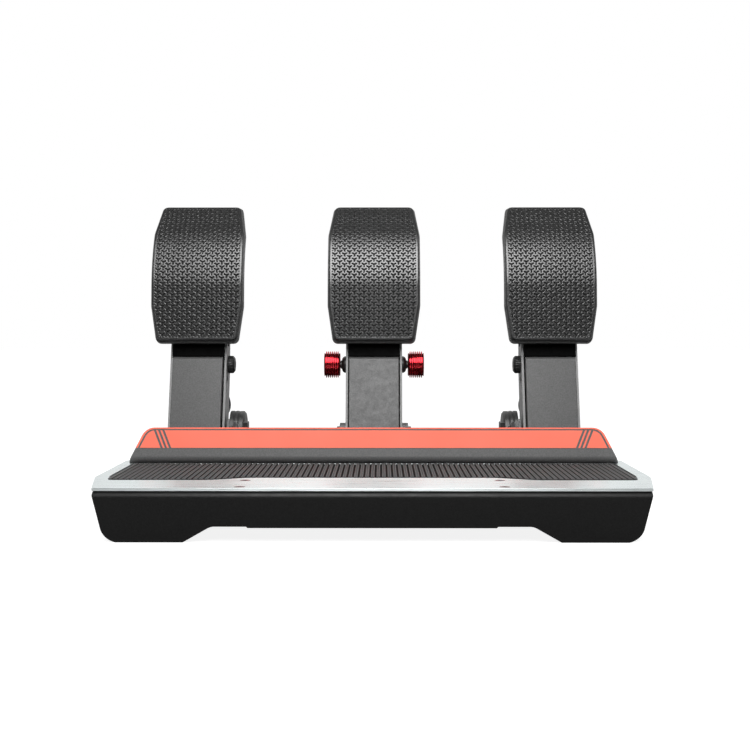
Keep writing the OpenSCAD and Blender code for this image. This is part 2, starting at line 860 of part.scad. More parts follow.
// Pad outline seen from the driver, grown by g
module pad_outline(g) {
  w = pad_w / 2 + g;
  n = pad_end_w / 2 + g;
  h = pad_l / 2 + g;
  s = pad_l / 2 - pad_taper;
  pts = [[w, -s], [w, s], [n, h], [-n, h], [-w, s], [-w, -s], [-n, -h], [n, -h]];
  translate([0, pad_mid]) polygon(rounded(pts, [14, 14, 4, 4, 14, 14, 4, 4]));
}

module pad_cover() {
  color([0.09, 0.09, 0.09]) in_arm()
    intersection() {
      pad_shell(pad_r - rubber_t, pad_r);
      front_slab(-pad_crown - 5, 0) pad_outline(0);
    }
}

module pad_plate() {
  r1 = pad_r - rubber_t;
  color([0.35, 0.35, 0.36]) in_arm()
    intersection() {
      pad_shell(r1 - pad_plate_t, r1);
      front_slab(-pad_crown - 5, 0) pad_outline(0.6);
    }
}

// Bracket behind the pad, with a neck above the cover plate and the spine behind that plate
module pad_bracket() {
  r0 = pad_r - rubber_t - pad_plate_t;
  lip = edge_u - 3;
  neck = bolt_reach + 2.6;
  color([0.1, 0.1, 0.1]) in_arm() {
    difference() {
      union() {
        side_slab(-inner, inner)
          intersection() {
            polygon(concat(
              pad_curve(r0, pad_l / 2, pad_l / 5),
              [[edge_u, pad_mid + pad_l], [edge_u, pad_mid - pad_l]]));
            translate([-pad_crown, pad_mid - 41]) square([pad_crown + edge_u, 76]);
          }
        side_slab(-inner, inner)
          polygon([
            [lip, neck], [edge_u + 0.4, neck], [edge_u + 0.4, bolt_reach + 14],
            [-1, bolt_reach + 20], [-1, pad_mid + 5], [edge_u - e, pad_mid + 11], [lip, pad_mid + 11]]);
        side_slab(-inner, inner) translate([edge_u, -6]) square([spine_t, neck + 12]);
      }
      side_slab(-50, 50)
        for (s = [-1, 1])
          translate([0, pad_mid + s * 19])
            polygon(rounded(
              [[lip - 6.5, -12], [lip - 1, -12], [lip - 1, 12], [lip - 6.5, 12]],
              [2, 2, 2, 2]));
    }
  }
}

// Shaft that ends flush at the side plates. The brake's has a nut and a stud end on both sides; an outer
// pedal's runs on into its angle sensor.
module pivot_shaft(sensor) {
  r = shaft_d / 2;
  nut_t = 4.2;
  color([0.12, 0.12, 0.12]) in_arm() {
    bar_x(r, -half, half);
    if (sensor)
      bar_x(r - 1, half - e, cap_x + 3);
    else
      both_x() {
        translate([half, 0, 0]) rotate([0, 90, 0]) cylinder(r = 6.2, h = nut_t, $fn = 6);
        bar_x(r - 1.5, half + nut_t - e, half + nut_t + 2);
      }
  }
}

// Cross bolt with the spacers that centre the rod eye
module bolt_core() {
  bar_x(bolt_d / 2, -half - e, half + e, 0, bolt_reach);
  both_x() bar_x(bolt_d / 2 + 2, 7 + face_gap, inner, 0, bolt_reach);
}

// An outer pedal's bolt has its head on the inner side only
module outer_bolt() {
  color([0.1, 0.1, 0.1]) in_arm() {
    bolt_core();
    translate([half, 0, bolt_reach])
      rotate([0, 90, 0]) {
        cylinder(r = 6, h = 4, $fn = 12);
        cylinder(r = 5, h = 5);
      }
  }
}

knob_0 = half + 4.3;
stud_r = 2.5;

module brake_bolt() {
  color([0.1, 0.1, 0.1]) in_arm() {
    bolt_core();
    both_x() {
      bar_x(6, half, half + 2, 0, bolt_reach);
      bar_x(5, half + 2 - e, half + 3, 0, bolt_reach);
      bar_x(3, half + 3 - e, knob_0 - face_gap, 0, bolt_reach);
      bar_x(stud_r, knob_0 - face_gap - e, knob_0 + knob_l - 2.4, 0, bolt_reach);
    }
  }
}

// Ridged adjuster knob, turned about the cross bolt
module knob() {
  r = knob_d / 2;
  p = (knob_l - 1.8) / knob_grooves;
  ridge = [for (k = [0 : knob_grooves - 1]) each [
    [r, 0.9 + p * k + 0.2 * p], [r, 0.9 + p * k + 0.65 * p],
    [r - 0.7, 0.9 + p * k + 0.75 * p], [r - 0.7, 0.9 + p * (k + 1)]]];
  color([0.75, 0.05, 0.06]) in_arm()
    translate([knob_0, 0, bolt_reach])
      rotate([0, 90, 0])
        rotate_extrude()
          polygon(concat(
            [[stud_r + run_fit, 0], [r - 0.8, 0], [r, 0.6]],
            ridge,
            [[r, knob_l - 0.6], [r - 0.8, knob_l], [0, knob_l]],
            [[0, knob_l - 1.6], [stud_r + run_fit, knob_l - 1.6]]));
}

module clutch_side_plates() { in_frame() at_pedal(-1) side_plates(); }
module brake_side_plates() { in_frame() at_pedal(0) side_plates(); }
module throttle_side_plates() { in_frame() at_pedal(1) side_plates(); }
module clutch_front_plate() { in_frame() at_pedal(-1) front_plate(); }
module brake_front_plate() { in_frame() at_pedal(0) front_plate(); }
module throttle_front_plate() { in_frame() at_pedal(1) front_plate(); }
module clutch_arm_block() { in_frame() at_pedal(-1) arm_block(); }
module brake_arm_block() { in_frame() at_pedal(0) arm_block(); }
module throttle_arm_block() { in_frame() at_pedal(1) arm_block(); }
module clutch_pad_bracket() { in_frame() at_pedal(-1) pad_bracket(); }
module brake_pad_bracket() { in_frame() at_pedal(0) pad_bracket(); }
module throttle_pad_bracket() { in_frame() at_pedal(1) pad_bracket(); }
module clutch_pad_plate() { in_frame() at_pedal(-1) pad_plate(); }
module brake_pad_plate() { in_frame() at_pedal(0) pad_plate(); }
module throttle_pad_plate() { in_frame() at_pedal(1) pad_plate(); }
module clutch_pad_cover() { in_frame() at_pedal(-1) pad_cover(); }
module brake_pad_cover() { in_frame() at_pedal(0) pad_cover(); }
module throttle_pad_cover() { in_frame() at_pedal(1) pad_cover(); }
module clutch_pivot_shaft() { in_frame() at_pedal(-1) pivot_shaft(true); }
module brake_pivot_shaft() { in_frame() at_pedal(0) pivot_shaft(false); }
module throttle_pivot_shaft() { in_frame() at_pedal(1) mirror([1, 0, 0]) pivot_shaft(true); }
module clutch_cross_bolt() { in_frame() at_pedal(-1) outer_bolt(); }
module brake_cross_bolt() { in_frame() at_pedal(0) brake_bolt(); }
module throttle_cross_bolt() { in_frame() at_pedal(1) mirror([1, 0, 0]) outer_bolt(); }
module brake_knob_left() { in_frame() mirror([1, 0, 0]) knob(); }
module brake_knob_right() { in_frame() knob(); }

// Struts, drawn in the strut frame

module rod(end) {
  color([0.78, 0.78, 0.8]) in_strut()
    difference() {
      union() {
        bar_x(8.2, -7, 7);
        bar_y(rod_d / 2, 0, end);
        bar_y(rod_d / 2 + 1.5, 7, collar_0 - 1.5);
      }
      bar_x(bolt_d / 2 + open_fit, -20, 20);
    }
}

// Preload collar with notches for a hook spanner
module collar() {
  r = spring_d / 2 + 0.5;
  color([0.15, 0.15, 0.16]) in_strut()
    difference() {
      bar_y(r, collar_0, collar_1);
      bar_y(rod_d / 2, collar_0 - 1, collar_1 + 1);
      for (k = [0 : 5])
        rotate([0, 60 * k, 0]) translate([r + 0.6, 0, 0]) bar_y(2, collar_0 - 1, collar_1 - 2);
    }
}

module tube_core(end) {
  difference() {
    union() {
      bar_y(sleeve_d / 2, sleeve_0, seat_1);
      bar_y(spring_d / 2 + 2, seat_0, seat_1);
      bar_y(tube_r, seat_1 - e, end);
    }
    bar_y(rod_d / 2 + run_fit, min(sleeve_0, seat_0) - 1, min(bore_end, end - 1.5));
  }
}

module rear_eye() {
  bar_x(eye_r, face_gap - cheek_in, cheek_in - face_gap, strut_l, 0);
}

module strut_tube() {
  color([0.22, 0.22, 0.23]) in_strut()
    difference() {
      union() {
        tube_core(strut_l - 4);
        rear_eye();
      }
      bar_x(pin_r + run_fit, -50, 50, strut_l, 0);
    }
}

cell_0 = seat_1 + 4;
cell_1 = strut_l - eye_r + 2;

module brake_tube() {
  color([0.22, 0.22, 0.23]) in_strut() tube_core(cell_0);
}

// Load cell: a drilled block between the seat and the rear eye
module load_cell() {
  mid = (cell_0 + cell_1) / 2;
  color([0.7, 0.7, 0.72]) in_strut()
    difference() {
      union() {
        translate([-11, cell_0, -9.5]) cube([22, cell_1 - cell_0, 19]);
        rear_eye();
      }
      bar_x(pin_r + run_fit, -50, 50, strut_l, 0);
      bar_x(3.2, -50, 50, mid, 5);
      bar_x(3.2, -50, 50, mid, -5);
      translate([-50, mid - 1, -5]) cube([100, 2, 10]);
    }
}

// Brake rod stops short, because its tube ends at the load cell
brake_rod_end = cell_0 - 1.5 - stroke * 0.55 - 1;

// Elastomers with a washer between each pair
puck_n = 3;
washer_t = 1.5;
puck_l = (spring_l - washer_t * (puck_n - 1)) / puck_n;
puck_in = sleeve_d / 2 + curve_gap;

module ring_y(r1, r0, y0, y1) {
  difference() {
    bar_y(r1, y0, y1);
    bar_y(r0, y0 - 1, y1 + 1);
  }
}

module brake_elastomers() {
  color([0.12, 0.12, 0.13]) in_frame() in_strut()
    for (k = [0 : puck_n - 1])
      let (y = collar_1 + k * (puck_l + washer_t))
        ring_y(spring_d / 2 - 0.6, puck_in, y, y + puck_l);
}

module brake_washers() {
  color([0.75, 0.75, 0.77]) in_frame() in_strut()
    for (k = [1 : puck_n - 1])
      let (y = collar_1 + k * puck_l + (k - 1) * washer_t)
        ring_y(spring_d / 2 + 0.4, puck_in, y, y + washer_t);
}

// Coil spring: one tube swept along a helix whose end turns close up
rings = 8;
sides = 6;
coil_r = (spring_d - wire_d) / 2;
end_pitch = wire_d + 0.55;
mid_pitch = (spring_l - 0.2 - wire_d - 2 * end_pitch) / (turns - 2);

// Rise along the strut after a number of turns
function coil_rise(t) =
  t < 1 ? t * end_pitch
  : t > turns - 1 ? end_pitch + (turns - 2) * mid_pitch + (t - turns + 1) * end_pitch
  : end_pitch + (t - 1) * mid_pitch;

coil_n = turns * rings;
coil = [for (k = [0 : coil_n])
  let (t = k / rings)
  [coil_r * cos(360 * t), coil_rise(t), coil_r * sin(360 * t)]];

// Least clear gap between wire turns, measured between points of the wire's centre line
coil_gap = min([for (i = [0 : coil_n])
  for (j = [i + rings / 2 : coil_n])
    norm(coil[i] - coil[j])]) - wire_d;
echo(least_spring_gap = coil_gap);

module spring() {
  y0 = collar_1 + 0.1 + wire_d / 2;
  ring_r = wire_d / 2;
  skin = [for (k = [0 : coil_n])
    let (w = 360 * k / rings)
    for (j = [0 : sides - 1])
      let (b = 360 * j / sides)
      coil[k] + ring_r * [cos(b) * cos(w), sin(b), cos(b) * sin(w)]];
  walls = [for (k = [0 : coil_n - 1])
    for (j = [0 : sides - 1])
      let (a = k * sides + j)
      let (b = k * sides + (j + 1) % sides)
      each [[a, b, b + sides], [a, b + sides, a + sides]]];
  first = [[for (j = [sides - 1 : -1 : 0]) j]];
  last = [[for (j = [0 : sides - 1]) coil_n * sides + j]];
  color([0.72, 0.72, 0.74]) in_strut()
    translate([0, y0, 0])
      polyhedron(points = skin, faces = concat(walls, first, last));
}

module clutch_rod() { in_frame() at_pedal(-1) rod(rod_end); }
module brake_rod() { in_frame() rod(brake_rod_end); }
module throttle_rod() { in_frame() at_pedal(1) rod(rod_end); }
module clutch_collar() { in_frame() at_pedal(-1) collar(); }
module brake_collar() { in_frame() collar(); }
module throttle_collar() { in_frame() at_pedal(1) collar(); }
module clutch_strut_tube() { in_frame() at_pedal(-1) strut_tube(); }
module brake_strut_tube() { in_frame() brake_tube(); }
module throttle_strut_tube() { in_frame() at_pedal(1) strut_tube(); }
module brake_load_cell() { in_frame() load_cell(); }
module clutch_spring() { in_frame() at_pedal(-1) spring(); }
module throttle_spring() { in_frame() at_pedal(1) spring(); }

base_tray();
heel_plate();
heel_mat();
heel_screws();
heel_stop();
heel_stop_trim();
heel_stop_screws();
mount_posts();
rubber_feet();
controller_case();
controller_lid();
circuit_boards();
clutch_cheeks();
brake_cheeks();
throttle_cheeks();
cheek_bolts();
pivot_bushes();
rear_pins();
sensor_caps();
clutch_side_plates();
clutch_front_plate();
clutch_arm_block();
clutch_pad_bracket();
clutch_pad_plate();
clutch_pad_cover();
clutch_pivot_shaft();
clutch_cross_bolt();
brake_side_plates();
brake_front_plate();
brake_arm_block();
brake_pad_bracket();
brake_pad_plate();
brake_pad_cover();
brake_pivot_shaft();
brake_cross_bolt();
throttle_side_plates();
throttle_front_plate();
throttle_arm_block();
throttle_pad_bracket();
throttle_pad_plate();
throttle_pad_cover();
throttle_pivot_shaft();
throttle_cross_bolt();
clutch_strut_tube();
clutch_rod();
clutch_collar();
clutch_spring();
brake_strut_tube();
brake_load_cell();
brake_rod();
brake_collar();
brake_elastomers();
brake_washers();
brake_knob_left();
brake_knob_right();
throttle_strut_tube();
throttle_rod();
throttle_collar();
throttle_spring();
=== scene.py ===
# %% [markdown]
# # A sim racing pedal set
#
# Clutch, brake and throttle stand on a folded steel base with a brushed heel plate. The solid model comes
# packed as a frame that already has every piece at its real size. This lesson dresses that frame: it makes
# the surfaces that a solid modeller leaves plain, gives each finish its own material, and sets the studio.
# Lengths in this file are millimetres until a mesh is written, because that is how the parts are drawn.

# %% Load the frame
import json
import math

import bmesh
import bpy
import numpy as np
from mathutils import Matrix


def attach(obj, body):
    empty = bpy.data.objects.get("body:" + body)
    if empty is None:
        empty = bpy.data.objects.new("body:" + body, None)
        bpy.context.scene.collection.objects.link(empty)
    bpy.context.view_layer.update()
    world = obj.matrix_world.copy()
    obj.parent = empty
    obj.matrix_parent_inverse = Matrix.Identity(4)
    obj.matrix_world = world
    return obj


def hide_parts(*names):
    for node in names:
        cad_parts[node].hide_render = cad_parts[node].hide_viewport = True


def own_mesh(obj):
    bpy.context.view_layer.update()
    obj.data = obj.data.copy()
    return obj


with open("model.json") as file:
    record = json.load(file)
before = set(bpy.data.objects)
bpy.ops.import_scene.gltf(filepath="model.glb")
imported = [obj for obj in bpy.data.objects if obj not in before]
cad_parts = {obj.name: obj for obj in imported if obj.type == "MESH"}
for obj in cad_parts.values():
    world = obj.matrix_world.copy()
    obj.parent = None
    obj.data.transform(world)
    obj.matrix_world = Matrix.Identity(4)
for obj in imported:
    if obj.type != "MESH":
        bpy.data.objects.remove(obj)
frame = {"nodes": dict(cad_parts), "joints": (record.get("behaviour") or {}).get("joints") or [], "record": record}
nodes = frame["nodes"]
joints = {joint["name"]: joint for joint in frame["joints"]}
body_of = {node: body for body, group in frame["record"]["behaviour"]["bodies"].items() for node in group}
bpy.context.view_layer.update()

# %% [markdown]
# ## Where the pedals are
#
# The joints of the frame say where each pivot, cross bolt and rear pin is, so nothing has to be measured
# again. An arm has its own axes: x across, u rearwards from the pivot line and v up along the arm. A strut
# runs from its cross bolt down to its rear pin.

# %% Axes of the arms and struts
PER_M = 1000.0
PEDALS = ("clutch", "brake", "throttle")


def joint_place(name):
    """Place of a joint in millimetres."""
    return np.array(joints[name]["pos_m"]) * PER_M


pivot = {pedal: joint_place(pedal + "_press") for pedal in PEDALS}
rear_pin = {pedal: joint_place(pedal + "_strut_tilt") for pedal in PEDALS}
bolt_y, bolt_z = joint_place("brake_left_knob_turn")[1:]
bolt = {pedal: np.array([pivot[pedal][0], bolt_y, bolt_z]) for pedal in PEDALS}
arm_lean = math.atan2(bolt_y - pivot["brake"][1], bolt_z - pivot["brake"][2])
strut_l = float(np.linalg.norm(rear_pin["brake"] - bolt["brake"]))
strut_axis = (rear_pin["brake"] - bolt["brake"]) / strut_l
strut_up = np.cross(strut_axis, [-1.0, 0.0, 0.0])


def from_arm(pedal, x, u, v):
    """Points in the frame for places (x, u, v) on an arm: u and v are turned by the lean about the pivot."""
    px, py, pz = pivot[pedal]
    y = py + u * math.cos(arm_lean) + v * math.sin(arm_lean)
    z = pz - u * math.sin(arm_lean) + v * math.cos(arm_lean)
    return np.stack([px + x, y, z], axis=-1)


print("arm lean", round(math.degrees(arm_lean), 2), "strut length", round(strut_l, 2))

# %% [markdown]
# ## From arrays to a mesh
#
# A surface is a grid of points. Its faces follow from the grid's size alone, so they can be counted out as
# index arrays. foreach_set hands whole arrays to Blender, which is far quicker than adding faces singly.

# %% Mesh helpers
SHARP_ANGLE = math.radians(38)


def grid_faces(rows, cols, wrap_rows=False, wrap_cols=False):
    """Quads of a grid of points stored row by row; a wrapped direction joins its last line to its first."""
    r = np.arange(rows if wrap_rows else rows - 1)[:, None]
    c = np.arange(cols if wrap_cols else cols - 1)[None, :]
    r1 = (r + 1) % rows
    c1 = (c + 1) % cols
    quads = [r * cols + c, r * cols + c1, r1 * cols + c1, r1 * cols + c]
    return np.stack(np.broadcast_arrays(*quads), axis=-1).reshape(-1, 4)


def put_mesh(name, points, groups):
    """Makes an object from points in millimetres and groups of faces, each an array with one face a row."""
    loops = np.concatenate([group.ravel() for group in groups]).astype(np.int32)
    sizes = np.concatenate([np.full(len(group), group.shape[1]) for group in groups])
    starts = np.concatenate([[0], np.cumsum(sizes)[:-1]]).astype(np.int32)
    mesh = bpy.data.meshes.new(name)
    mesh.vertices.add(len(points))
    mesh.vertices.foreach_set("co", (points / PER_M).astype(np.float32).ravel())
    mesh.loops.add(len(loops))
    mesh.loops.foreach_set("vertex_index", loops)
    mesh.polygons.add(len(sizes))
    mesh.polygons.foreach_set("loop_start", starts)
    mesh.update(calc_edges=True)
    mesh.validate()
    mesh.shade_smooth()
    mesh.set_sharp_from_angle(angle=SHARP_ANGLE)
    piece = bpy.data.objects.new(name, mesh)
    bpy.context.scene.collection.objects.link(piece)
    return piece


def seat(piece, material, *stands_for):
    """Gives a piece its material and the body of the CAD nodes that it stands for, and hides those nodes."""
    piece.data.materials.clear()
    piece.data.materials.append(material)
    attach(piece, body_of[stands_for[0]])
    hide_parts(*stands_for)
    return piece


def corner_arc(p, q, s, r, n=10):
    """Points of the arc of radius r that rounds corner q between its neighbours p and s."""
    p, q, s = (np.array(point, float) for point in (p, q, s))
    a = (p - q) / np.linalg.norm(p - q)
    b = (s - q) / np.linalg.norm(s - q)
    half = math.acos(float(a @ b)) / 2
    centre = q + (a + b) / np.linalg.norm(a + b) * r / math.sin(half)
    t0 = q + a * r / math.tan(half) - centre
    t1 = q + b * r / math.tan(half) - centre
    turn = math.atan2(t0[0] * t1[1] - t0[1] * t1[0], float(t0 @ t1))
    w = math.atan2(t0[1], t0[0]) + turn * np.linspace(0, 1, n + 1)
    return centre + r * np.stack([np.cos(w), np.sin(w)], axis=-1)


def smooth_step(t):
    """Eases from 0 to 1 as t goes from 0 to 1."""
    t = np.clip(t, 0, 1)
    return t * t * (3 - 2 * t)


# %% [markdown]
# ## Finishes
#
# A finish is a Principled shader plus one or two noises that break up its colour, gloss and surface. The
# noises read Object coordinates, so a pattern keeps its real size on every piece. Values that are the same
# all over a surface go straight onto the shader's sockets.

# %% Finish helpers
MIDDLE_RANGE = (0.3, 0.7)


def finish(name, colour, rough, metallic=0.0, specular=0.5):
    """A new material with its constant values on the Principled shader."""
    material = bpy.data.materials.new(name)
    material.use_nodes = True
    sockets = material.node_tree.nodes["Principled BSDF"].inputs
    sockets["Base Color"].default_value = (*colour, 1.0)
    sockets["Roughness"].default_value = rough
    sockets["Metallic"].default_value = metallic
    sockets["Specular IOR Level"].default_value = specular
    return material


def shader_of(material):
    """The Principled shader of a material."""
    return material.node_tree.nodes["Principled BSDF"]


def grain(material, size, stretch=(1.0, 1.0, 1.0), detail=3.0):
    """Noise with grains of about size millimetres, drawn out along the axes by stretch."""
    tree = material.node_tree
    coords = tree.nodes.new("ShaderNodeTexCoord")
    mapping = tree.nodes.new("ShaderNodeMapping")
    noise = tree.nodes.new("ShaderNodeTexNoise")
    mapping.inputs["Scale"].default_value = [PER_M / (size * s) for s in stretch]
    noise.inputs["Scale"].default_value = 1.0
    noise.inputs["Detail"].default_value = detail
    tree.links.new(coords.outputs["Object"], mapping.inputs["Vector"])
    tree.links.new(mapping.outputs["Vector"], noise.inputs["Vector"])
    return noise.outputs["Fac"]


def attribute(material, name):
    """A number that the mesh itself carries."""
    node = material.node_tree.nodes.new("ShaderNodeAttribute")
    node.attribute_name = name
    return node.outputs["Fac"]


def vary_colour(material, source, dark, light, low=0.35, high=0.65):
    """Runs the base colour from dark to light as the source goes from low to high."""
    tree = material.node_tree
    ramp = tree.nodes.new("ShaderNodeValToRGB")
    ramp.color_ramp.elements[0].position = low
    ramp.color_ramp.elements[0].color = (*dark, 1.0)
    ramp.color_ramp.elements[1].position = high
    ramp.color_ramp.elements[1].color = (*light, 1.0)
    tree.links.new(source, ramp.inputs["Fac"])
    tree.links.new(ramp.outputs["Color"], shader_of(material).inputs["Base Color"])


def map_range(tree, source, span, levels, soft=False):
    """Turns a number that goes over span into one that goes over levels, evenly or eased at both ends."""
    node = tree.nodes.new("ShaderNodeMapRange")
    node.interpolation_type = "SMOOTHSTEP" if soft else "LINEAR"
    for socket, value in zip(("From Min", "From Max", "To Min", "To Max"), (*span, *levels)):
        node.inputs[socket].default_value = value
    tree.links.new(source, node.inputs["Value"])
    return node.outputs["Result"]


def vary_rough(material, source, low, high):
    """Runs the roughness from low to high over the source's middle range."""
    tree = material.node_tree
    tree.links.new(map_range(tree, source, MIDDLE_RANGE, (low, high)), shader_of(material).inputs["Roughness"])


def bump(material, source, height):
    """Raises the surface by the source times height millimetres; several bumps add up."""
    tree = material.node_tree
    normal = shader_of(material).inputs["Normal"]
    node = tree.nodes.new("ShaderNodeBump")
    node.inputs["Distance"].default_value = height / PER_M
    if normal.is_linked:
        tree.links.new(normal.links[0].from_socket, node.inputs["Normal"])
    tree.links.new(source, node.inputs["Height"])
    tree.links.new(node.outputs["Normal"], normal)


# %% [markdown]
# ### Painted and plastic finishes
#
# Powder coat is a fine orange peel: small bumps, with paler specks where the light catches them. The cover
# plates of the arms are bead blasted and dyed dark grey. The pad brackets are dyed black, and made darker still
# and almost without shine as painted shade under the pads. Moulded cases have a finer, duller grain.

# %% Painted and plastic finishes
COAT_REACH = 0.06


def powder_coat(name, dark, light, rough, peel, specular=0.5):
    """Paint with an orange peel of the given height and faint specks."""
    material = finish(name, dark, rough, specular=specular)
    vary_colour(material, grain(material, 0.9, detail=6), dark, light)
    vary_rough(material, grain(material, 3.0), rough - COAT_REACH, rough + COAT_REACH)
    bump(material, grain(material, 0.7, detail=4), peel)
    return material


black_coat = powder_coat("black_powder_coat", (0.003,) * 3, (0.007,) * 3, 0.40, 0.03, specular=0.2)
grey_coat = powder_coat("grey_powder_coat", (0.085,) * 3, (0.115,) * 3, 0.5, 0.04, specular=0.25)
cover_coat = powder_coat("blasted_grey_dye", (0.06,) * 3, (0.09,) * 3, 0.36, 0.02, specular=0.31)
satin_plate = powder_coat("satin_anodised", (0.25,) * 3, (0.30,) * 3, 0.45, 0.02, specular=0.3)
plate_coat = powder_coat("pad_plate_coat", (0.05,) * 3, (0.08,) * 3, 0.42, 0.05)
# The pad bracket is black; its near-black colour with almost no shine also paints the shadow of the pad.
black_dye = powder_coat("black_dye", (0.001,) * 3, (0.002,) * 3, 0.5, 0.03, specular=0.02)
case_plastic = powder_coat("grained_case_plastic", (0.014,) * 3, (0.024,) * 3, 0.55, 0.05)
cap_plastic = powder_coat("sensor_cap_plastic", (0.02,) * 3, (0.035,) * 3, 0.4, 0.03)
bush_polymer = powder_coat("bush_polymer", (0.03, 0.028, 0.026), (0.05, 0.047, 0.043), 0.5, 0.02)
black_oxide = powder_coat("black_oxide", (0.01,) * 3, (0.022,) * 3, 0.34, 0.02)

orange_film = finish("orange_film", (0.93, 0.19, 0.125), 0.46, specular=0.12)
vary_colour(orange_film, grain(orange_film, 40.0), (0.92, 0.185, 0.12), (0.94, 0.197, 0.131))
vary_rough(orange_film, grain(orange_film, 1.2), 0.42, 0.5)
bump(orange_film, grain(orange_film, 0.6), 0.012)

board_green = finish("solder_mask", (0.01, 0.09, 0.035), 0.3)
vary_colour(board_green, grain(board_green, 2.5, detail=1), (0.008, 0.07, 0.026), (0.02, 0.14, 0.055))
vary_rough(board_green, grain(board_green, 1.5), 0.24, 0.4)
print("painted and plastic finishes ready")

# %% [markdown]
# ### Metals
#
# The heel plate is brushed from side to side. Each scratch is a long thin line, so the noise is drawn out
# along x and reflections smear the other way, towards the driver. Milled plates show the same lines more
# faintly. Ground rods and plated springs are smoother still. The red knobs have painted
# shade in their grooves.

# %% Metals
SCRATCH_REACH = 0.07
SCRATCH_SHADE = 0.9


def brushed(name, colour, rough, stretch, scratch, size=0.35):
    """Metal with long scratches: the same drawn-out noise tints it, roughens it and lifts it."""
    material = finish(name, colour, rough, metallic=1.0)
    lines = grain(material, size, stretch=stretch, detail=4)
    vary_colour(material, lines, [SCRATCH_SHADE * c for c in colour], colour)
    vary_rough(material, lines, rough - SCRATCH_REACH, rough + SCRATCH_REACH)
    bump(material, lines, scratch)
    return material


def smear_along_y(material, amount):
    """Smears reflections along y, across scratches that run along x."""
    tree = material.node_tree
    along = tree.nodes.new("ShaderNodeCombineXYZ")
    along.inputs["Y"].default_value = 1.0
    tree.links.new(along.outputs["Vector"], shader_of(material).inputs["Tangent"])
    shader_of(material).inputs["Anisotropic"].default_value = amount


brushed_plate = brushed("brushed_heel_plate", (0.76, 0.81, 0.81), 0.32, (90.0, 1.0, 1.0), 0.0003)
smear_along_y(brushed_plate, 0.85)
milled_plate = brushed("milled_plate", (0.56, 0.56, 0.57), 0.3, (1.0, 30.0, 30.0), 0.006)
milled_cell = brushed("milled_load_cell", (0.70, 0.70, 0.72), 0.32, (40.0, 1.0, 1.0), 0.006)
milled_block = brushed("milled_block", (0.42, 0.42, 0.44), 0.36, (40.0, 1.0, 1.0), 0.006)
zinc_steel = brushed("zinc_plate", (0.62, 0.63, 0.64), 0.34, (6.0, 6.0, 6.0), 0.01, size=0.6)
spring_steel = brushed("spring_wire", (0.55, 0.55, 0.57), 0.26, (3.0, 3.0, 3.0), 0.008, size=0.5)
ground_rod = brushed("ground_rod", (0.78, 0.78, 0.80), 0.16, (40.0, 1.0, 1.0), 0.003)
dark_anodised = brushed("dark_anodised_tube", (0.055, 0.055, 0.06), 0.34, (30.0, 1.0, 1.0), 0.005)
dark_screw = brushed("dark_screw", (0.20, 0.20, 0.21), 0.3, (1.0, 1.0, 1.0), 0.01)

red_anodised = finish("red_anodised", (0.66, 0.03, 0.042), 0.24, metallic=0.9)
red_turning = grain(red_anodised, 0.5, stretch=(1.0, 40.0, 40.0))
# Painted shade: the knob's grooves are coloured darker than its ridges.
red_groove_shade = attribute(red_anodised, "relief")
vary_colour(red_anodised, red_groove_shade, (0.05, 0.002, 0.003), (0.66, 0.03, 0.042), low=0.3, high=0.9)
vary_rough(red_anodised, red_turning, 0.18, 0.30)
bump(red_anodised, red_turning, 0.002)
print("metals ready")

# %% [markdown]
# ### Rubber
#
# The pads are black rubber with a satin skin. Feet polish the raised network first, so the mesh carries a
# number that is 1 there and 0 in the grooves, and the material makes the grooves duller and paints them
# darker as shade. The mat's ribs carry the same number, and its low parts are painted darker as shade too.
# Feet and elastomers are plainer, with a dusty bloom.

# %% Rubber
BLOOM_REACH = 0.07


def rubber(name, dark, light, rough, size, height, specular=0.35):
    """Matt rubber with a fine grain and a slow drift of bloom."""
    material = finish(name, dark, rough, specular=specular)
    vary_colour(material, grain(material, size * 8, detail=5), dark, light)
    vary_rough(material, grain(material, size * 5), rough - BLOOM_REACH, rough + BLOOM_REACH)
    bump(material, grain(material, size), height)
    return material


def hollow_shaded_rubber(name, dark, light, lowest, rough, size, height, specular, groove_rough=None):
    """Rubber that goes from dark to light as the mesh's relief goes from lowest to 1: painted shade in the low
    parts. Its roughness drifts, or goes from groove_rough up to rough with the relief."""
    material = finish(name, dark, rough, specular=specular)
    raised = attribute(material, "relief")
    vary_colour(material, raised, dark, light, low=lowest, high=1.0)
    if groove_rough is None:
        vary_rough(material, grain(material, size * 5), rough - BLOOM_REACH, rough + BLOOM_REACH)
    else:
        vary_rough(material, raised, groove_rough, rough)
    bump(material, grain(material, size), height)
    return material


# Painted shade: the pads' grooves and the mat's low parts, front face and border are coloured darker.
pad_rubber = hollow_shaded_rubber(
    "pad_rubber", (0.001,) * 3, (0.012,) * 3, 0.1, 0.3, 0.25, 0.004, specular=0.9, groove_rough=0.85)
mat_rubber = hollow_shaded_rubber("mat_rubber", (0.003,) * 3, (0.105,) * 3, 0.2, 0.75, 0.4, 0.03, specular=0.15)
foot_rubber = rubber("foot_rubber", (0.01,) * 3, (0.02,) * 3, 0.7, 0.5, 0.05)
elastomer = rubber("elastomer", (0.012, 0.012, 0.014), (0.024, 0.024, 0.027), 0.42, 0.5, 0.02)
print("rubber ready")

# %% [markdown]
# ## Pads
#
# Each foot pad is a rubber sheet over a bent plate: flat below, bent round in the middle and flat again above.
# Its outline is a tapered octagon with soft shoulders. The grip is a field of three-armed grooves on a
# triangular lattice. The grooves could be a bump map, but they catch light at their edges and show in profile,
# so they are cut in the mesh.

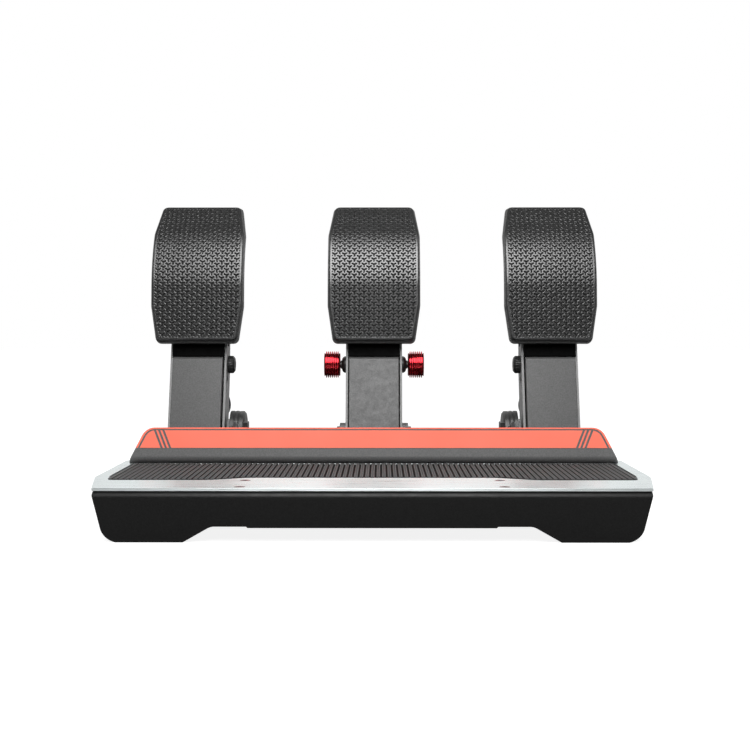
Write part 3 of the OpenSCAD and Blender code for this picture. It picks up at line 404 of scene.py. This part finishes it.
# %% Pad surface
PAD_R = 75.0
PAD_CROWN_U = -34.3
PAD_BEND_V = 113.0
PAD_SLOPES = (12.2, 21.8)
PAD_MID_V = 111.5
PAD_T = 4.0
PAD_HALF_L = 51.5
PAD_SHOULDER = (32.2, 26.5)
PAD_END = 28.4
PAD_SHOULDER_R = 14.0
PAD_CORNER_R = 4.0
PAD_FILLET = 1.3
PAD_STEP = 0.28
GROOVE_PITCH = 4.0
GROOVE_ARM = 1.75
GROOVE_HALF = 0.42
GROOVE_DEPTH = 0.7
GROOVE_MARGIN = 1.0
GROOVE_FADE = 0.6
GROOVE_WALL = (0.35, 0.9)
RIM_DEGREES = (18, 36, 54, 72, 90)
RIM_RELIEF = 0.6


def pad_half_width(v, inset):
    """Half-width of the pad at height v from its middle: straight sides and tapers joined by arcs."""
    w, s, n, h = PAD_SHOULDER[0] - inset, PAD_SHOULDER[1], PAD_END - inset, PAD_HALF_L - inset
    end = corner_arc([0, h], [n, h], [w, s], PAD_CORNER_R - inset)
    shoulder = corner_arc([n, h], [w, s], [w, -s], PAD_SHOULDER_R)
    top = np.concatenate([end, shoulder])[::-1]
    side = np.concatenate([top[::-1] * [1, -1], top])
    return np.interp(v, side[:, 1], side[:, 0])


def pad_side(s, drop):
    """Side line of the pad as (u, v), at distance s up the face from its crown and drop below the face: an
    arc about the bend's centre, which runs on straight where it reaches the lower or upper slope."""
    low, high = np.radians(PAD_SLOPES)
    w = np.clip(s / PAD_R, -low, high)
    straight = s - PAD_R * w
    r = PAD_R - drop
    u = PAD_CROWN_U + PAD_R - r * np.cos(w) + straight * np.sin(w)
    return u, PAD_BEND_V + r * np.sin(w) + straight * np.cos(w)


def groove_share(x, s):
    """1 in the middle of a groove, 0 away from it. Groove centres lie on two nested rectangular lattices,
    sqrt(3) pitches by one pitch; a groove is all points near three arms at 30, 150 and 270 degrees."""
    column = GROOVE_PITCH * math.sqrt(3)
    nearest = np.full(x.shape, np.inf)
    for shift in (0.0, 0.5):
        dx = x - (np.round(x / column - shift) + shift) * column
        ds = s - (np.round(s / GROOVE_PITCH - shift) + shift) * GROOVE_PITCH
        for degrees in (30, 150, 270):
            ca, sa = math.cos(math.radians(degrees)), math.sin(math.radians(degrees))
            along = np.clip(dx * ca + ds * sa, 0, GROOVE_ARM)
            nearest = np.minimum(nearest, np.hypot(dx - along * ca, ds - along * sa))
    return 1 - smooth_step((nearest - GROOVE_WALL[0] * GROOVE_HALF) / (GROOVE_WALL[1] * GROOVE_HALF))


def pad_surface(pedal):
    """Closed pad: a grid on the bent face lowered by the grooves, a quarter-round rim carried along the
    outline, a straight wall down to the plate, and a back of strips from side to side."""
    fillet = PAD_FILLET
    climb = np.linspace(-2 * PAD_HALF_L, 2 * PAD_HALF_L, 2001)
    reach = PAD_HALF_L - fillet
    s0, s1 = np.interp([-reach, reach], pad_side(climb, 0)[1] - PAD_MID_V, climb)
    rows = int((s1 - s0) / PAD_STEP)
    cols = int(2 * PAD_SHOULDER[0] / PAD_STEP)
    line = np.linspace(s0, s1, rows + 1)[:, None]
    half = pad_half_width(pad_side(line, 0)[1] - PAD_MID_V, fillet)
    x = half * np.linspace(-1, 1, cols + 1)[None, :]
    s = np.broadcast_to(line, x.shape)
    margin = np.minimum(half - np.abs(x), np.minimum(s - s0, s1 - s))
    share = groove_share(x, s) * smooth_step((margin - GROOVE_MARGIN) / GROOVE_FADE)

    index = np.arange((rows + 1) * (cols + 1)).reshape(rows + 1, cols + 1)
    rim = np.concatenate([index[0], index[1:, -1], index[-1, -2::-1], index[-2:0:-1, 0]])
    rx, rs = x.ravel()[rim], s.ravel()[rim]
    tx, ts = np.roll(rx, -1) - np.roll(rx, 1), np.roll(rs, -1) - np.roll(rs, 1)
    nx, ns = ts / np.hypot(tx, ts), -tx / np.hypot(tx, ts)
    phi = np.radians(RIM_DEGREES)[:, None]
    out = np.concatenate([fillet * np.sin(phi), [[fillet]]])
    rim_drop = np.concatenate([fillet * (1 - np.cos(phi)), [[PAD_T]]])
    xs = np.concatenate([x.ravel(), (rx + nx * out).ravel()])
    ss = np.concatenate([s.ravel(), (rs + ns * out).ravel()])
    count, lines = len(rim), len(out)
    drop = np.concatenate([GROOVE_DEPTH * share.ravel(), np.broadcast_to(rim_drop, (lines, count)).ravel()])

    rings = np.concatenate([rim[None, :], index.size + np.arange(lines * count).reshape(lines, count)])
    a, b = rings[:-1], rings[1:]
    skirt = np.stack([a, b, np.roll(b, -1, 1), np.roll(a, -1, 1)], axis=-1).reshape(-1, 4)
    j = np.arange(1, rows - 1)
    left, right = 2 * cols + 2 * rows - j, cols + j
    back = rings[-1][np.stack([left, left - 1, right + 1, right], axis=-1)]
    low = rings[-1][np.concatenate([[count - 1, cols + 1], np.arange(cols, -1, -1)])][None, :]
    high = rings[-1][np.arange(2 * cols + rows + 1, cols + rows - 2, -1)][None, :]
    points = from_arm(pedal, xs, *pad_side(ss, drop))
    groups = [grid_faces(rows + 1, cols + 1), skirt, back, low, high]
    # Painted shade: the grooves get a low relief, which colours them dark; the rim and walls take a middle value.
    relief = np.concatenate([1 - share.ravel(), np.full(lines * count, RIM_RELIEF)])
    return points, groups, relief


def add_relief(piece, values):
    """Stores how raised each point is, for the material to read; the materials paint lower points darker, as
    shade.
    """
    layer = piece.data.attributes.new("relief", "FLOAT", "POINT")
    layer.data.foreach_set("value", values.astype(np.float32))


for pedal in PEDALS:
    points, groups, relief = pad_surface(pedal)
    pad = put_mesh(pedal + "_grip_pad", points, groups)
    add_relief(pad, relief)
    seat(pad, pad_rubber, pedal + "_pad_cover")
print("pads:", len(points), "points each")

# %% [markdown]
# ## Ribbed mat
#
# The heel mat is one moulded sheet with ribs that run front to back and a fine line along the crown of each.
# Its height depends on x alone, so the section of the mat, a closed loop from front to back, is carried across
# the plate and lifted by the rib profile. The front edge steps back between the outer pedals,
# and a low border with a rim inside it closes either end. The low parts between and along the ribs, the
# front face and the border are painted dark as shade.

# %% Mat surface
MAT_HALF = 159.0
MAT_BOTTOM_Z = min(corner[2] for corner in nodes["heel_mat"].bound_box) * PER_M
MAT_FLOOR_Z = MAT_BOTTOM_Z + 0.7
MAT_FRONT = 40.0
MAT_STEP = 11.0
MAT_BACK = 126.4
MAT_STEP_X = (75.0, 97.0)
MAT_CORNER = (3.0, 20.0)
RIB_PITCH = 3.4
RIB_PROFILE = np.array([
    [-1.70, 0.00], [-1.30, 0.00], [-1.18, 0.55], [-1.08, 0.78], [-0.92, 0.90], [-0.34, 0.90], [-0.24, 0.84],
    [-0.12, 0.62], [0.12, 0.62], [0.24, 0.84], [0.34, 0.90], [0.92, 0.90], [1.08, 0.78], [1.18, 0.55],
    [1.30, 0.00]])
RIM_INSET = np.array([0.0, 1.6, 1.8, 3.8, 4.0])
RIM_HEIGHT = np.array([0.0, 0.0, 0.9, 0.9, 0.0])
# Each point of the loop: how far behind the front edge, how far below the rib, and its share of the relief;
# a low share paints the front face dark as shade.
MAT_LOOP = np.array([
    [0, 0, 0], [0, 0.35, 0], [0.12, 0.1, 0.5], [0.4, 0, 1], [8, 0, 1], [30, 0, 1], [MAT_BACK - 60, 0, 1],
    [MAT_BACK - 52, 0, 1]])
FRONT_EDGE_Y = -152.5


def mat_front_edge(x):
    """Distance of the mat's front from the base's front edge at x: two levels joined by a soft slope, and a
    parabola that cuts the corners."""
    a, b = MAT_STEP_X
    level = MAT_FRONT + MAT_STEP * (1 - smooth_step((np.abs(x) - a) / (b - a)))
    wide, deep = MAT_CORNER
    corner = np.clip((np.abs(x) - (MAT_HALF - wide)) / wide, 0, 1)
    return level + deep * corner**2


def mat_surface():
    """Closed mat: a loop of points from front to back at each x, raised by the rib profile."""
    ribs = int((MAT_HALF - RIM_INSET[-1]) / RIB_PITCH - 0.5)
    x = (np.arange(-ribs, ribs + 1)[:, None] * RIB_PITCH + RIB_PROFILE[None, :, 0]).ravel()
    h = np.tile(RIB_PROFILE[:, 1], 2 * ribs + 1)
    rim = MAT_HALF - RIM_INSET
    x = np.concatenate([-rim, x, rim[::-1]])
    h = np.concatenate([RIM_HEIGHT, h, RIM_HEIGHT[::-1]])
    front = mat_front_edge(x)
    run, sink, on_top = MAT_LOOP.T
    y = np.minimum(front[:, None] + run, MAT_BACK)
    y[:, -2:] = MAT_BACK
    z = MAT_FLOOR_Z + h[:, None] - sink
    z[:, 0] = MAT_BOTTOM_Z
    z[:, -1] = MAT_BOTTOM_Z
    points = np.stack([np.broadcast_to(x[:, None], y.shape), y + FRONT_EDGE_Y, z], axis=-1)
    cols, loop = y.shape
    caps = np.stack([np.arange(loop), np.arange(loop)[::-1] + (cols - 1) * loop])
    # Painted shade: the relief is 0 on the front face and low in the valleys and the border, so these are dark.
    relief = h[:, None] / RIB_PROFILE[:, 1].max() * on_top
    return points.reshape(-1, 3), [grid_faces(cols, loop, wrap_cols=True)[:, ::-1], caps[:, ::-1]], relief.ravel()


points, groups, relief = mat_surface()
mat = put_mesh("ribbed_mat", points, groups)
add_relief(mat, relief)
seat(mat, mat_rubber, "heel_mat")
print("mat:", len(points), "points")

# %% [markdown]
# ## Turned pieces
#
# Knobs, bolts and elastomers are turned on a lathe, so each is a profile of radius against length, spun
# about an axis. A knurl or a hex recess only changes the radius with the angle, and then the radius is an
# array of profile by angle.

# %% Lathe
LATHE_N = 96
PHI = np.linspace(0, 2 * math.pi, LATHE_N, endpoint=False)


def lathe(name, origin, axis, profile, shape=None, ring=False):
    """Spins a profile of (length, radius) rows about an axis. shape multiplies the radii by angle, and ring
    joins the profile's end to its start instead of closing the two ends with flat caps."""
    axis = np.asarray(axis, float)
    e1 = np.cross(axis, [0.0, 0.6, 0.8])
    e1 /= np.linalg.norm(e1)
    e2 = np.cross(axis, e1)
    length, radius = np.array(profile, float).T
    radii = radius[:, None] * (1.0 if shape is None else shape)
    turn = np.cos(PHI)[:, None] * e1 + np.sin(PHI)[:, None] * e2
    points = origin + length[:, None, None] * axis + np.broadcast_to(
        radii, (len(length), LATHE_N)
    )[:, :, None] * turn
    faces = grid_faces(len(length), LATHE_N, wrap_rows=ring, wrap_cols=True)[:, ::-1]
    first = np.arange(LATHE_N)[None, :]
    groups = [faces] if ring else [faces, first, first[:, ::-1] + (len(length) - 1) * LATHE_N]
    groups = [group[:, ::-1] for group in groups]
    return put_mesh(name, points.reshape(-1, 3), groups)


def hexagon():
    """Radius of a hexagon against angle, as a share of the radius to its flats."""
    return 1 / np.cos((PHI % (math.pi / 3)) - math.pi / 6)


# %% [markdown]
# The brake's two knobs are turned from aluminium and anodised red. Seven ridges run round each, with grooves
# between them that are painted dark as shade, and a shallow dish closes the outer end.

# %% Adjuster knobs
KNOB_START = 24.3
KNOB_L = 11.4
KNOB_R = 9.5
KNOB_RIDGES = 7
KNOB_GROOVE = 1.8
KNOB_LIP = 0.9
KNOB_CROWN = 1.7
STEPS_PER_RIDGE = 16


def knob_profile():
    """Length and radius from the inner end to the dished outer end, and how raised each row is. A ridge is a
    cosine wave, stretched and clipped so that its crown is flat."""
    t = np.linspace(KNOB_LIP, KNOB_L - KNOB_LIP, STEPS_PER_RIDGE * KNOB_RIDGES + 1)
    wave = 0.5 - 0.5 * np.cos(2 * math.pi * KNOB_RIDGES * (t - KNOB_LIP) / (KNOB_L - 2 * KNOB_LIP))
    ridges = np.stack([t, KNOB_R - KNOB_GROOVE * (1 - np.clip(KNOB_CROWN * wave, 0, 1))], axis=-1)
    start = [[0, 3.2], [0, KNOB_R - 1.4], [0.25, KNOB_R - 1.0]]
    edge = [[KNOB_L - 0.25, KNOB_R - 1.0], [KNOB_L, KNOB_R - 1.4]]
    dish = [[KNOB_L, 5.2], [KNOB_L - 0.5, 4.6], [KNOB_L - 0.5, 1]]
    raised = 1 - (KNOB_R - ridges[:, 1]) / KNOB_GROOVE
    raised = np.pad(raised, (len(start), len(edge) + len(dish)), constant_values=1)
    return np.concatenate([start, ridges, edge, dish]), raised


profile, raised = knob_profile()
for side, way in (("left", -1.0), ("right", 1.0)):
    origin = bolt["brake"] + np.array([way * KNOB_START, 0, 0])
    knob = lathe("brake_knob_" + side + "_turned", origin, [way, 0, 0], profile)
    add_relief(knob, np.repeat(raised, LATHE_N))
    seat(knob, red_anodised, "brake_knob_" + side)
print("knobs:", KNOB_RIDGES, "ridges each")

# %% [markdown]
# The cross bolts pass through the arms. The brake's ends in domed washers and necks for the knobs. Each outer
# pedal's bolt has one round head, on the side that faces the brake, with a serrated rim and a hex socket.

# %% Cross bolts
ARM_HALF = 20.0
BOLT_R = 4.0
SPACER = (7.4, 18.4)
SPACER_R = 6.0
RIM_TEETH = 18
TOOTH = 0.035
SOCKET_SHARE = 0.93


def mirrored(half):
    """A whole profile from its right half, which starts at the middle."""
    half = np.array(half, float)
    return np.concatenate([half[::-1] * [-1, 1], half])


inner, outer = SPACER
spacer = [[inner, BOLT_R], [inner, SPACER_R], [outer, SPACER_R], [outer, BOLT_R]]
core = [[0.01, BOLT_R], *spacer, [ARM_HALF, BOLT_R]]
dome = np.radians(np.linspace(0, 70, 8))
washer = np.stack([ARM_HALF + 0.6 + 2.6 * np.sin(dome), SPACER_R * np.cos(dome) ** 0.5], axis=-1)
neck = [[23.3, 2.9], [23.9, 2.9], [23.9, 2.45], [33.0, 2.45], [33.2, 2.2]]
brake_bolt = lathe(
    "brake_cross_bolt_turned", bolt["brake"], [1, 0, 0],
    mirrored(np.concatenate([core, [[ARM_HALF, SPACER_R]], washer, neck])))
seat(brake_bolt, black_oxide, "brake_cross_bolt")

head = [[ARM_HALF, 5.9], [ARM_HALF + 0.3, 6.1], [ARM_HALF + 3.6, 6.1], [ARM_HALF + 4.1, 5.6]]
face = [[ARM_HALF + 5, 4.7], [ARM_HALF + 5, 2.6], [ARM_HALF + 2.5, 2.6], [ARM_HALF + 2.5, 0.6]]
outer_profile = np.concatenate([mirrored(core), head, face])
teeth = np.cos(RIM_TEETH * PHI)
serrated = 1 + TOOTH * np.sign(teeth) * np.abs(teeth) ** 0.5
on_rim = (outer_profile[:, :1] > ARM_HALF) & (outer_profile[:, 1:] > 5)
in_socket = (outer_profile[:, :1] > ARM_HALF + 2) & (outer_profile[:, 1:] < 3)
outer_shape = np.where(on_rim, serrated, np.where(in_socket, hexagon() * SOCKET_SHARE, 1.0))
for pedal, inwards in (("clutch", 1.0), ("throttle", -1.0)):
    outer_bolt = lathe(pedal + "_cross_bolt_turned", bolt[pedal], [inwards, 0, 0], outer_profile, outer_shape)
    seat(outer_bolt, black_oxide, pedal + "_cross_bolt")
print("cross bolts:", len(outer_profile), "profile points")

# %% [markdown]
# ## Springs and elastomers
#
# Clutch and throttle push against coil springs. A spring is a circle carried along a helix whose end turns
# close up. The brake pushes against a stack of rubber rings, which bulge a little between steel washers.
# All of them shorten as the rods slide in.

# %% Coil springs
SPRING_D = 26.0
WIRE_D = 2.6
TURNS = 6
COLLAR_END = 20.5
SEAT_GAP = 45.0
END_PITCH = WIRE_D + 0.55
RINGS_PER_TURN = 48
WIRE_SIDES = 16
spring_l = strut_l - SEAT_GAP - COLLAR_END


def spring_surface(pedal):
    """A circle of wire carried along a helix: rise follows a slow pitch in the end turns and a wide one
    between, eased from one to the other; flat caps close the wire's ends."""
    t = np.linspace(0, TURNS, TURNS * RINGS_PER_TURN + 1)
    middle = (spring_l - 0.2 - WIRE_D - 2 * END_PITCH) / (TURNS - 2)
    rise = np.interp(t, [0, 1, TURNS - 1, TURNS], np.cumsum([0, END_PITCH, middle * (TURNS - 2), END_PITCH]))
    soft = np.ones(RINGS_PER_TURN // 3) / (RINGS_PER_TURN // 3)
    ends = len(soft) // 2
    rise = np.convolve(np.pad(rise, (ends, len(soft) - 1 - ends), "reflect", reflect_type="odd"), soft, "valid")
    coil_r = (SPRING_D - WIRE_D) / 2
    w = 2 * math.pi * t
    outward = np.cos(w)[:, None] * np.array([1.0, 0, 0]) + np.sin(w)[:, None] * strut_up
    along = COLLAR_END + 0.1 + WIRE_D / 2 + rise
    centre = bolt[pedal] + along[:, None] * strut_axis + coil_r * outward
    b = np.linspace(0, 2 * math.pi, WIRE_SIDES, endpoint=False)
    ring = np.cos(b)[None, :, None] * outward[:, None, :] + np.sin(b)[None, :, None] * strut_axis
    points = centre[:, None, :] + WIRE_D / 2 * ring
    faces = grid_faces(len(t), WIRE_SIDES, wrap_cols=True)
    first = np.arange(WIRE_SIDES)[None, :]
    return points.reshape(-1, 3), [faces[:, ::-1], first, first[:, ::-1] + (len(t) - 1) * WIRE_SIDES]


def shorten(piece):
    """Gives the piece its own copy of its mesh."""
    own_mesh(piece)


for pedal in ("clutch", "throttle"):
    points, groups = spring_surface(pedal)
    spring = put_mesh(pedal + "_coil_spring", points, groups)
    seat(spring, spring_steel, pedal + "_spring")
    shorten(spring)
print("springs:", len(points), "points each, length", round(spring_l, 2))

# %% Elastomers and washers
RING_IN = 7.8
PUCKS = 3
PUCK_R = 12.0
PUCK_BULGE = 0.6
PUCK_EDGE = 0.8
WASHER_T = 1.5
WASHER_R = 13.4
WASHER_EDGE = 0.25
puck_l = (spring_l - WASHER_T * (PUCKS - 1)) / PUCKS


def ring_loop(start, length, radius, bulge, edge):
    """Closed profile of a ring whose outside swells by bulge and whose corners are cut by edge."""
    t = np.linspace(-1, 1, 13)
    along = start + length / 2 * (1 + t * (1 - 2 * edge / length))
    outside = np.stack([along, radius + bulge * (1 - t**2)], axis=-1)
    near_end = [[start, RING_IN], [start, radius - edge]]
    far_end = [[start + length, radius - edge], [start + length, RING_IN]]
    return np.concatenate([near_end, outside, far_end])


for k in range(PUCKS):
    loop = ring_loop(COLLAR_END + k * (puck_l + WASHER_T), puck_l, PUCK_R, PUCK_BULGE, PUCK_EDGE)
    puck = lathe(f"brake_elastomer_{k + 1}", bolt["brake"], strut_axis, loop, ring=True)
    seat(puck, elastomer, "brake_elastomers")
    shorten(puck)
for k in range(1, PUCKS):
    loop = ring_loop(COLLAR_END + k * puck_l + (k - 1) * WASHER_T, WASHER_T, WASHER_R, 0.0, WASHER_EDGE)
    washer_ring = lathe(f"brake_washer_{k}", bolt["brake"], strut_axis, loop, ring=True)
    seat(washer_ring, zinc_steel, "brake_washers")
    shorten(washer_ring)
print("elastomers:", PUCKS, "rings of", round(puck_l, 2))

# %% [markdown]
# ## Machined and folded pieces
#
# The other pieces already have their true shape, but their edges are perfectly sharp and catch no light. A
# welded copy of each has its flat regions merged into single faces, and a bevel then breaks every edge, as a
# deburring tool would. Facets of a bend or a bore meet at small angles and stay smooth. The large faces keep
# their own normals, so that the bevels do not make them look pillowed.

# %% Broken edges
WELD_M = 1e-6
FLAT_ANGLE = math.radians(0.4)
BEVEL_SEGMENTS = 2
FLAT_WEIGHT = 100


def eased(node, edge):
    """Copy of a CAD node with its triangles joined and each sharp edge rounded by edge millimetres."""
    work = bmesh.new()
    work.from_mesh(nodes[node].data)
    bmesh.ops.remove_doubles(work, verts=work.verts, dist=WELD_M)
    bmesh.ops.dissolve_limit(work, angle_limit=FLAT_ANGLE, verts=work.verts, edges=work.edges)
    mesh = bpy.data.meshes.new(node + "_eased")
    work.to_mesh(mesh)
    work.free()
    mesh.shade_smooth()
    piece = bpy.data.objects.new(node + "_eased", mesh)
    bpy.context.scene.collection.objects.link(piece)
    bevel = piece.modifiers.new("broken edges", "BEVEL")
    bevel.width = edge / PER_M
    bevel.segments = BEVEL_SEGMENTS
    bevel.limit_method = "ANGLE"
    bevel.angle_limit = SHARP_ANGLE
    flats = piece.modifiers.new("flat faces stay flat", "WEIGHTED_NORMAL")
    flats.weight = FLAT_WEIGHT
    return piece


SHELLS = [
    ("base_tray", black_coat, 0.5), ("heel_plate", brushed_plate, 0.35), ("heel_screws", dark_screw, 0.12),
    ("heel_stop", grey_coat, 0.5), ("heel_stop_trim", orange_film, 0.05), ("heel_stop_screws", black_oxide, 0.2),
    ("mount_posts", zinc_steel, 0.3), ("rubber_feet", foot_rubber, 0.6), ("controller_case", case_plastic, 0.6),
    ("controller_lid", case_plastic, 0.5), ("circuit_boards", board_green, 0.15),
    ("cheek_bolts", black_oxide, 0.3), ("pivot_bushes", bush_polymer, 0.2), ("rear_pins", zinc_steel, 0.4),
    ("sensor_caps", cap_plastic, 0.2), ("brake_load_cell", milled_cell, 0.4)]
PER_PEDAL = [
    ("cheeks", milled_plate, 0.4), ("side_plates", satin_plate, 0.3), ("front_plate", cover_coat, 0.5),
    ("arm_block", milled_block, 0.4), ("pad_bracket", black_dye, 0.5), ("pad_plate", plate_coat, 0.4),
    ("pivot_shaft", black_oxide, 0.4), ("strut_tube", dark_anodised, 0.5), ("rod", ground_rod, 0.4),
    ("collar", dark_anodised, 0.4)]
SHELLS += [(pedal + "_" + part, material, edge) for pedal in PEDALS for part, material, edge in PER_PEDAL]
for node, material, edge in SHELLS:
    seat(eased(node, edge), material, node)
print("eased pieces:", len(SHELLS))

# %% [markdown]
# ## Studio
#
# The set stands on a pale floor in a white room. One large soft lamp hangs in front of the pedals, above the
# camera, so its reflection lies across the middle of the curved pads. A weaker one lights the struts from
# behind. The room behind the camera is dim, which keeps black paint black. The background shows white to the
# camera from every side.

# %% Floor, lamps and world
FLOOR_HALF = 6.0
FLOOR_GLOW = 0.87
FLOOR_IN_MIRRORS = 0.2
LAMPS = [
    ("front softbox", (0, -0.95, 1.03), (0, 0, 0.12), (0.6, 1.1), 22.5),
    ("left strip", (-1.2, 0.1, 0.5), (0, 0, 0.1), (0.4, 1.0), 3.0),
    ("right strip", (1.2, 0.1, 0.5), (0, 0, 0.1), (0.4, 1.0), 3.0),
    ("back sweep", (0, 0.95, 1.5), (0, 0.1, 0.1), (1.6, 0.5), 3.5)]
ROOM_DEPTH, ROOM_DEPTH_LEVELS = (-0.5, 0.6), (0.05, 0.85)
ROOM_HEIGHT, ROOM_HEIGHT_LEVELS = (0.45, 0.9), (1.0, 0.3)
floor_material = finish("pale_floor", (0.3, 0.3, 0.3), 0.6, specular=0.2)
vary_rough(floor_material, grain(floor_material, 30.0), 0.55, 0.65)


def combine(tree, operation, *sources):
    """Joins two sources by a Math operation; a source is a node's output or a plain number."""
    node = tree.nodes.new("ShaderNodeMath")
    node.operation = operation
    for socket, source in zip(node.inputs, sources):
        if isinstance(source, float):
            socket.default_value = source
        else:
            tree.links.new(source, socket)
    return node.outputs["Value"]


def show_white(material, seen, in_mirrors):
    """Adds a glow that lights nothing: of strength seen for the camera and weaker in reflections."""
    tree = material.node_tree
    path = tree.nodes.new("ShaderNodeLightPath")
    direct = combine(tree, "MULTIPLY", path.outputs["Is Camera Ray"], seen)
    mirror = combine(tree, "MULTIPLY", path.outputs["Is Glossy Ray"], in_mirrors)
    shader_of(material).inputs["Emission Color"].default_value = (1, 1, 1, 1)
    tree.links.new(combine(tree, "ADD", direct, mirror), shader_of(material).inputs["Emission Strength"])


show_white(floor_material, FLOOR_GLOW, FLOOR_IN_MIRRORS)
corner = FLOOR_HALF * PER_M
floor_points = np.array([[-corner, -corner, 0], [corner, -corner, 0], [corner, corner, 0], [-corner, corner, 0]])
floor = put_mesh("floor", floor_points, [np.array([[0, 1, 2, 3]])])
floor.data.materials.append(floor_material)


def soft_lamp(name, place, target, size, watts):
    """Rectangular area lamp at place, turned to face target."""
    lamp = bpy.data.lights.new(name, "AREA")
    lamp.shape = "RECTANGLE"
    lamp.size, lamp.size_y = size
    lamp.energy = watts
    holder = bpy.data.objects.new(name, lamp)
    bpy.context.scene.collection.objects.link(holder)
    holder.location = place
    aim = np.array(place) - np.array(target)
    yaw = math.atan2(aim[0], -aim[1])
    tilt = math.atan2(math.hypot(aim[0], aim[1]), aim[2])
    holder.rotation_euler = (tilt, 0, yaw)


for lamp_values in LAMPS:
    soft_lamp(*lamp_values)


def studio_world():
    """White all round for the camera; for light and reflections it is bright at the back, and dim in front
    and overhead."""
    world = bpy.data.worlds.new("studio")
    world.use_nodes = True
    tree = world.node_tree
    glow = tree.nodes["Background"]
    glow.inputs["Color"].default_value = (1, 1, 1, 1)
    coords = tree.nodes.new("ShaderNodeTexCoord")
    split = tree.nodes.new("ShaderNodeSeparateXYZ")
    tree.links.new(coords.outputs["Generated"], split.inputs["Vector"])
    depth = map_range(tree, split.outputs["Y"], ROOM_DEPTH, ROOM_DEPTH_LEVELS, soft=True)
    height = map_range(tree, split.outputs["Z"], ROOM_HEIGHT, ROOM_HEIGHT_LEVELS, soft=True)
    room = combine(tree, "MULTIPLY", depth, height)
    path = tree.nodes.new("ShaderNodeLightPath")
    tree.links.new(combine(tree, "MAXIMUM", room, path.outputs["Is Camera Ray"]), glow.inputs["Strength"])
    bpy.context.scene.world = world


studio_world()
bpy.context.scene.view_settings.view_transform = "Standard"
print("studio ready")

# %% [markdown]
# ## Camera
#
# The photograph gives the camera. Lines that run from front to back on the heel plate meet at the horizon,
# and the spacing of the pedals at their known depth gives the focal length in pixels. From those follow the
# lens, the eye's height and a slight downward tilt. The eye is also a few millimetres right of the middle.

# %% Camera
PHOTO_PX = 750
FOCAL_PX = 1217.0
HORIZON_PX = 328.0
EYE = (0.00505, -0.8285, 0.1211)
YAW = 0.005
SENSOR = 36.0
view = bpy.data.cameras.new("portrait camera")
view.sensor_width = SENSOR
view.lens = FOCAL_PX / PHOTO_PX * SENSOR
tilt_down = math.atan((PHOTO_PX / 2 - HORIZON_PX) / FOCAL_PX)
camera = bpy.data.objects.new("portrait camera", view)
camera.location = EYE
camera.rotation_euler = (math.pi / 2 - tilt_down, 0, YAW)
bpy.context.scene.collection.objects.link(camera)
bpy.context.scene.camera = camera
print("lens", round(view.lens, 2), "tilt", round(math.degrees(tilt_down), 2))
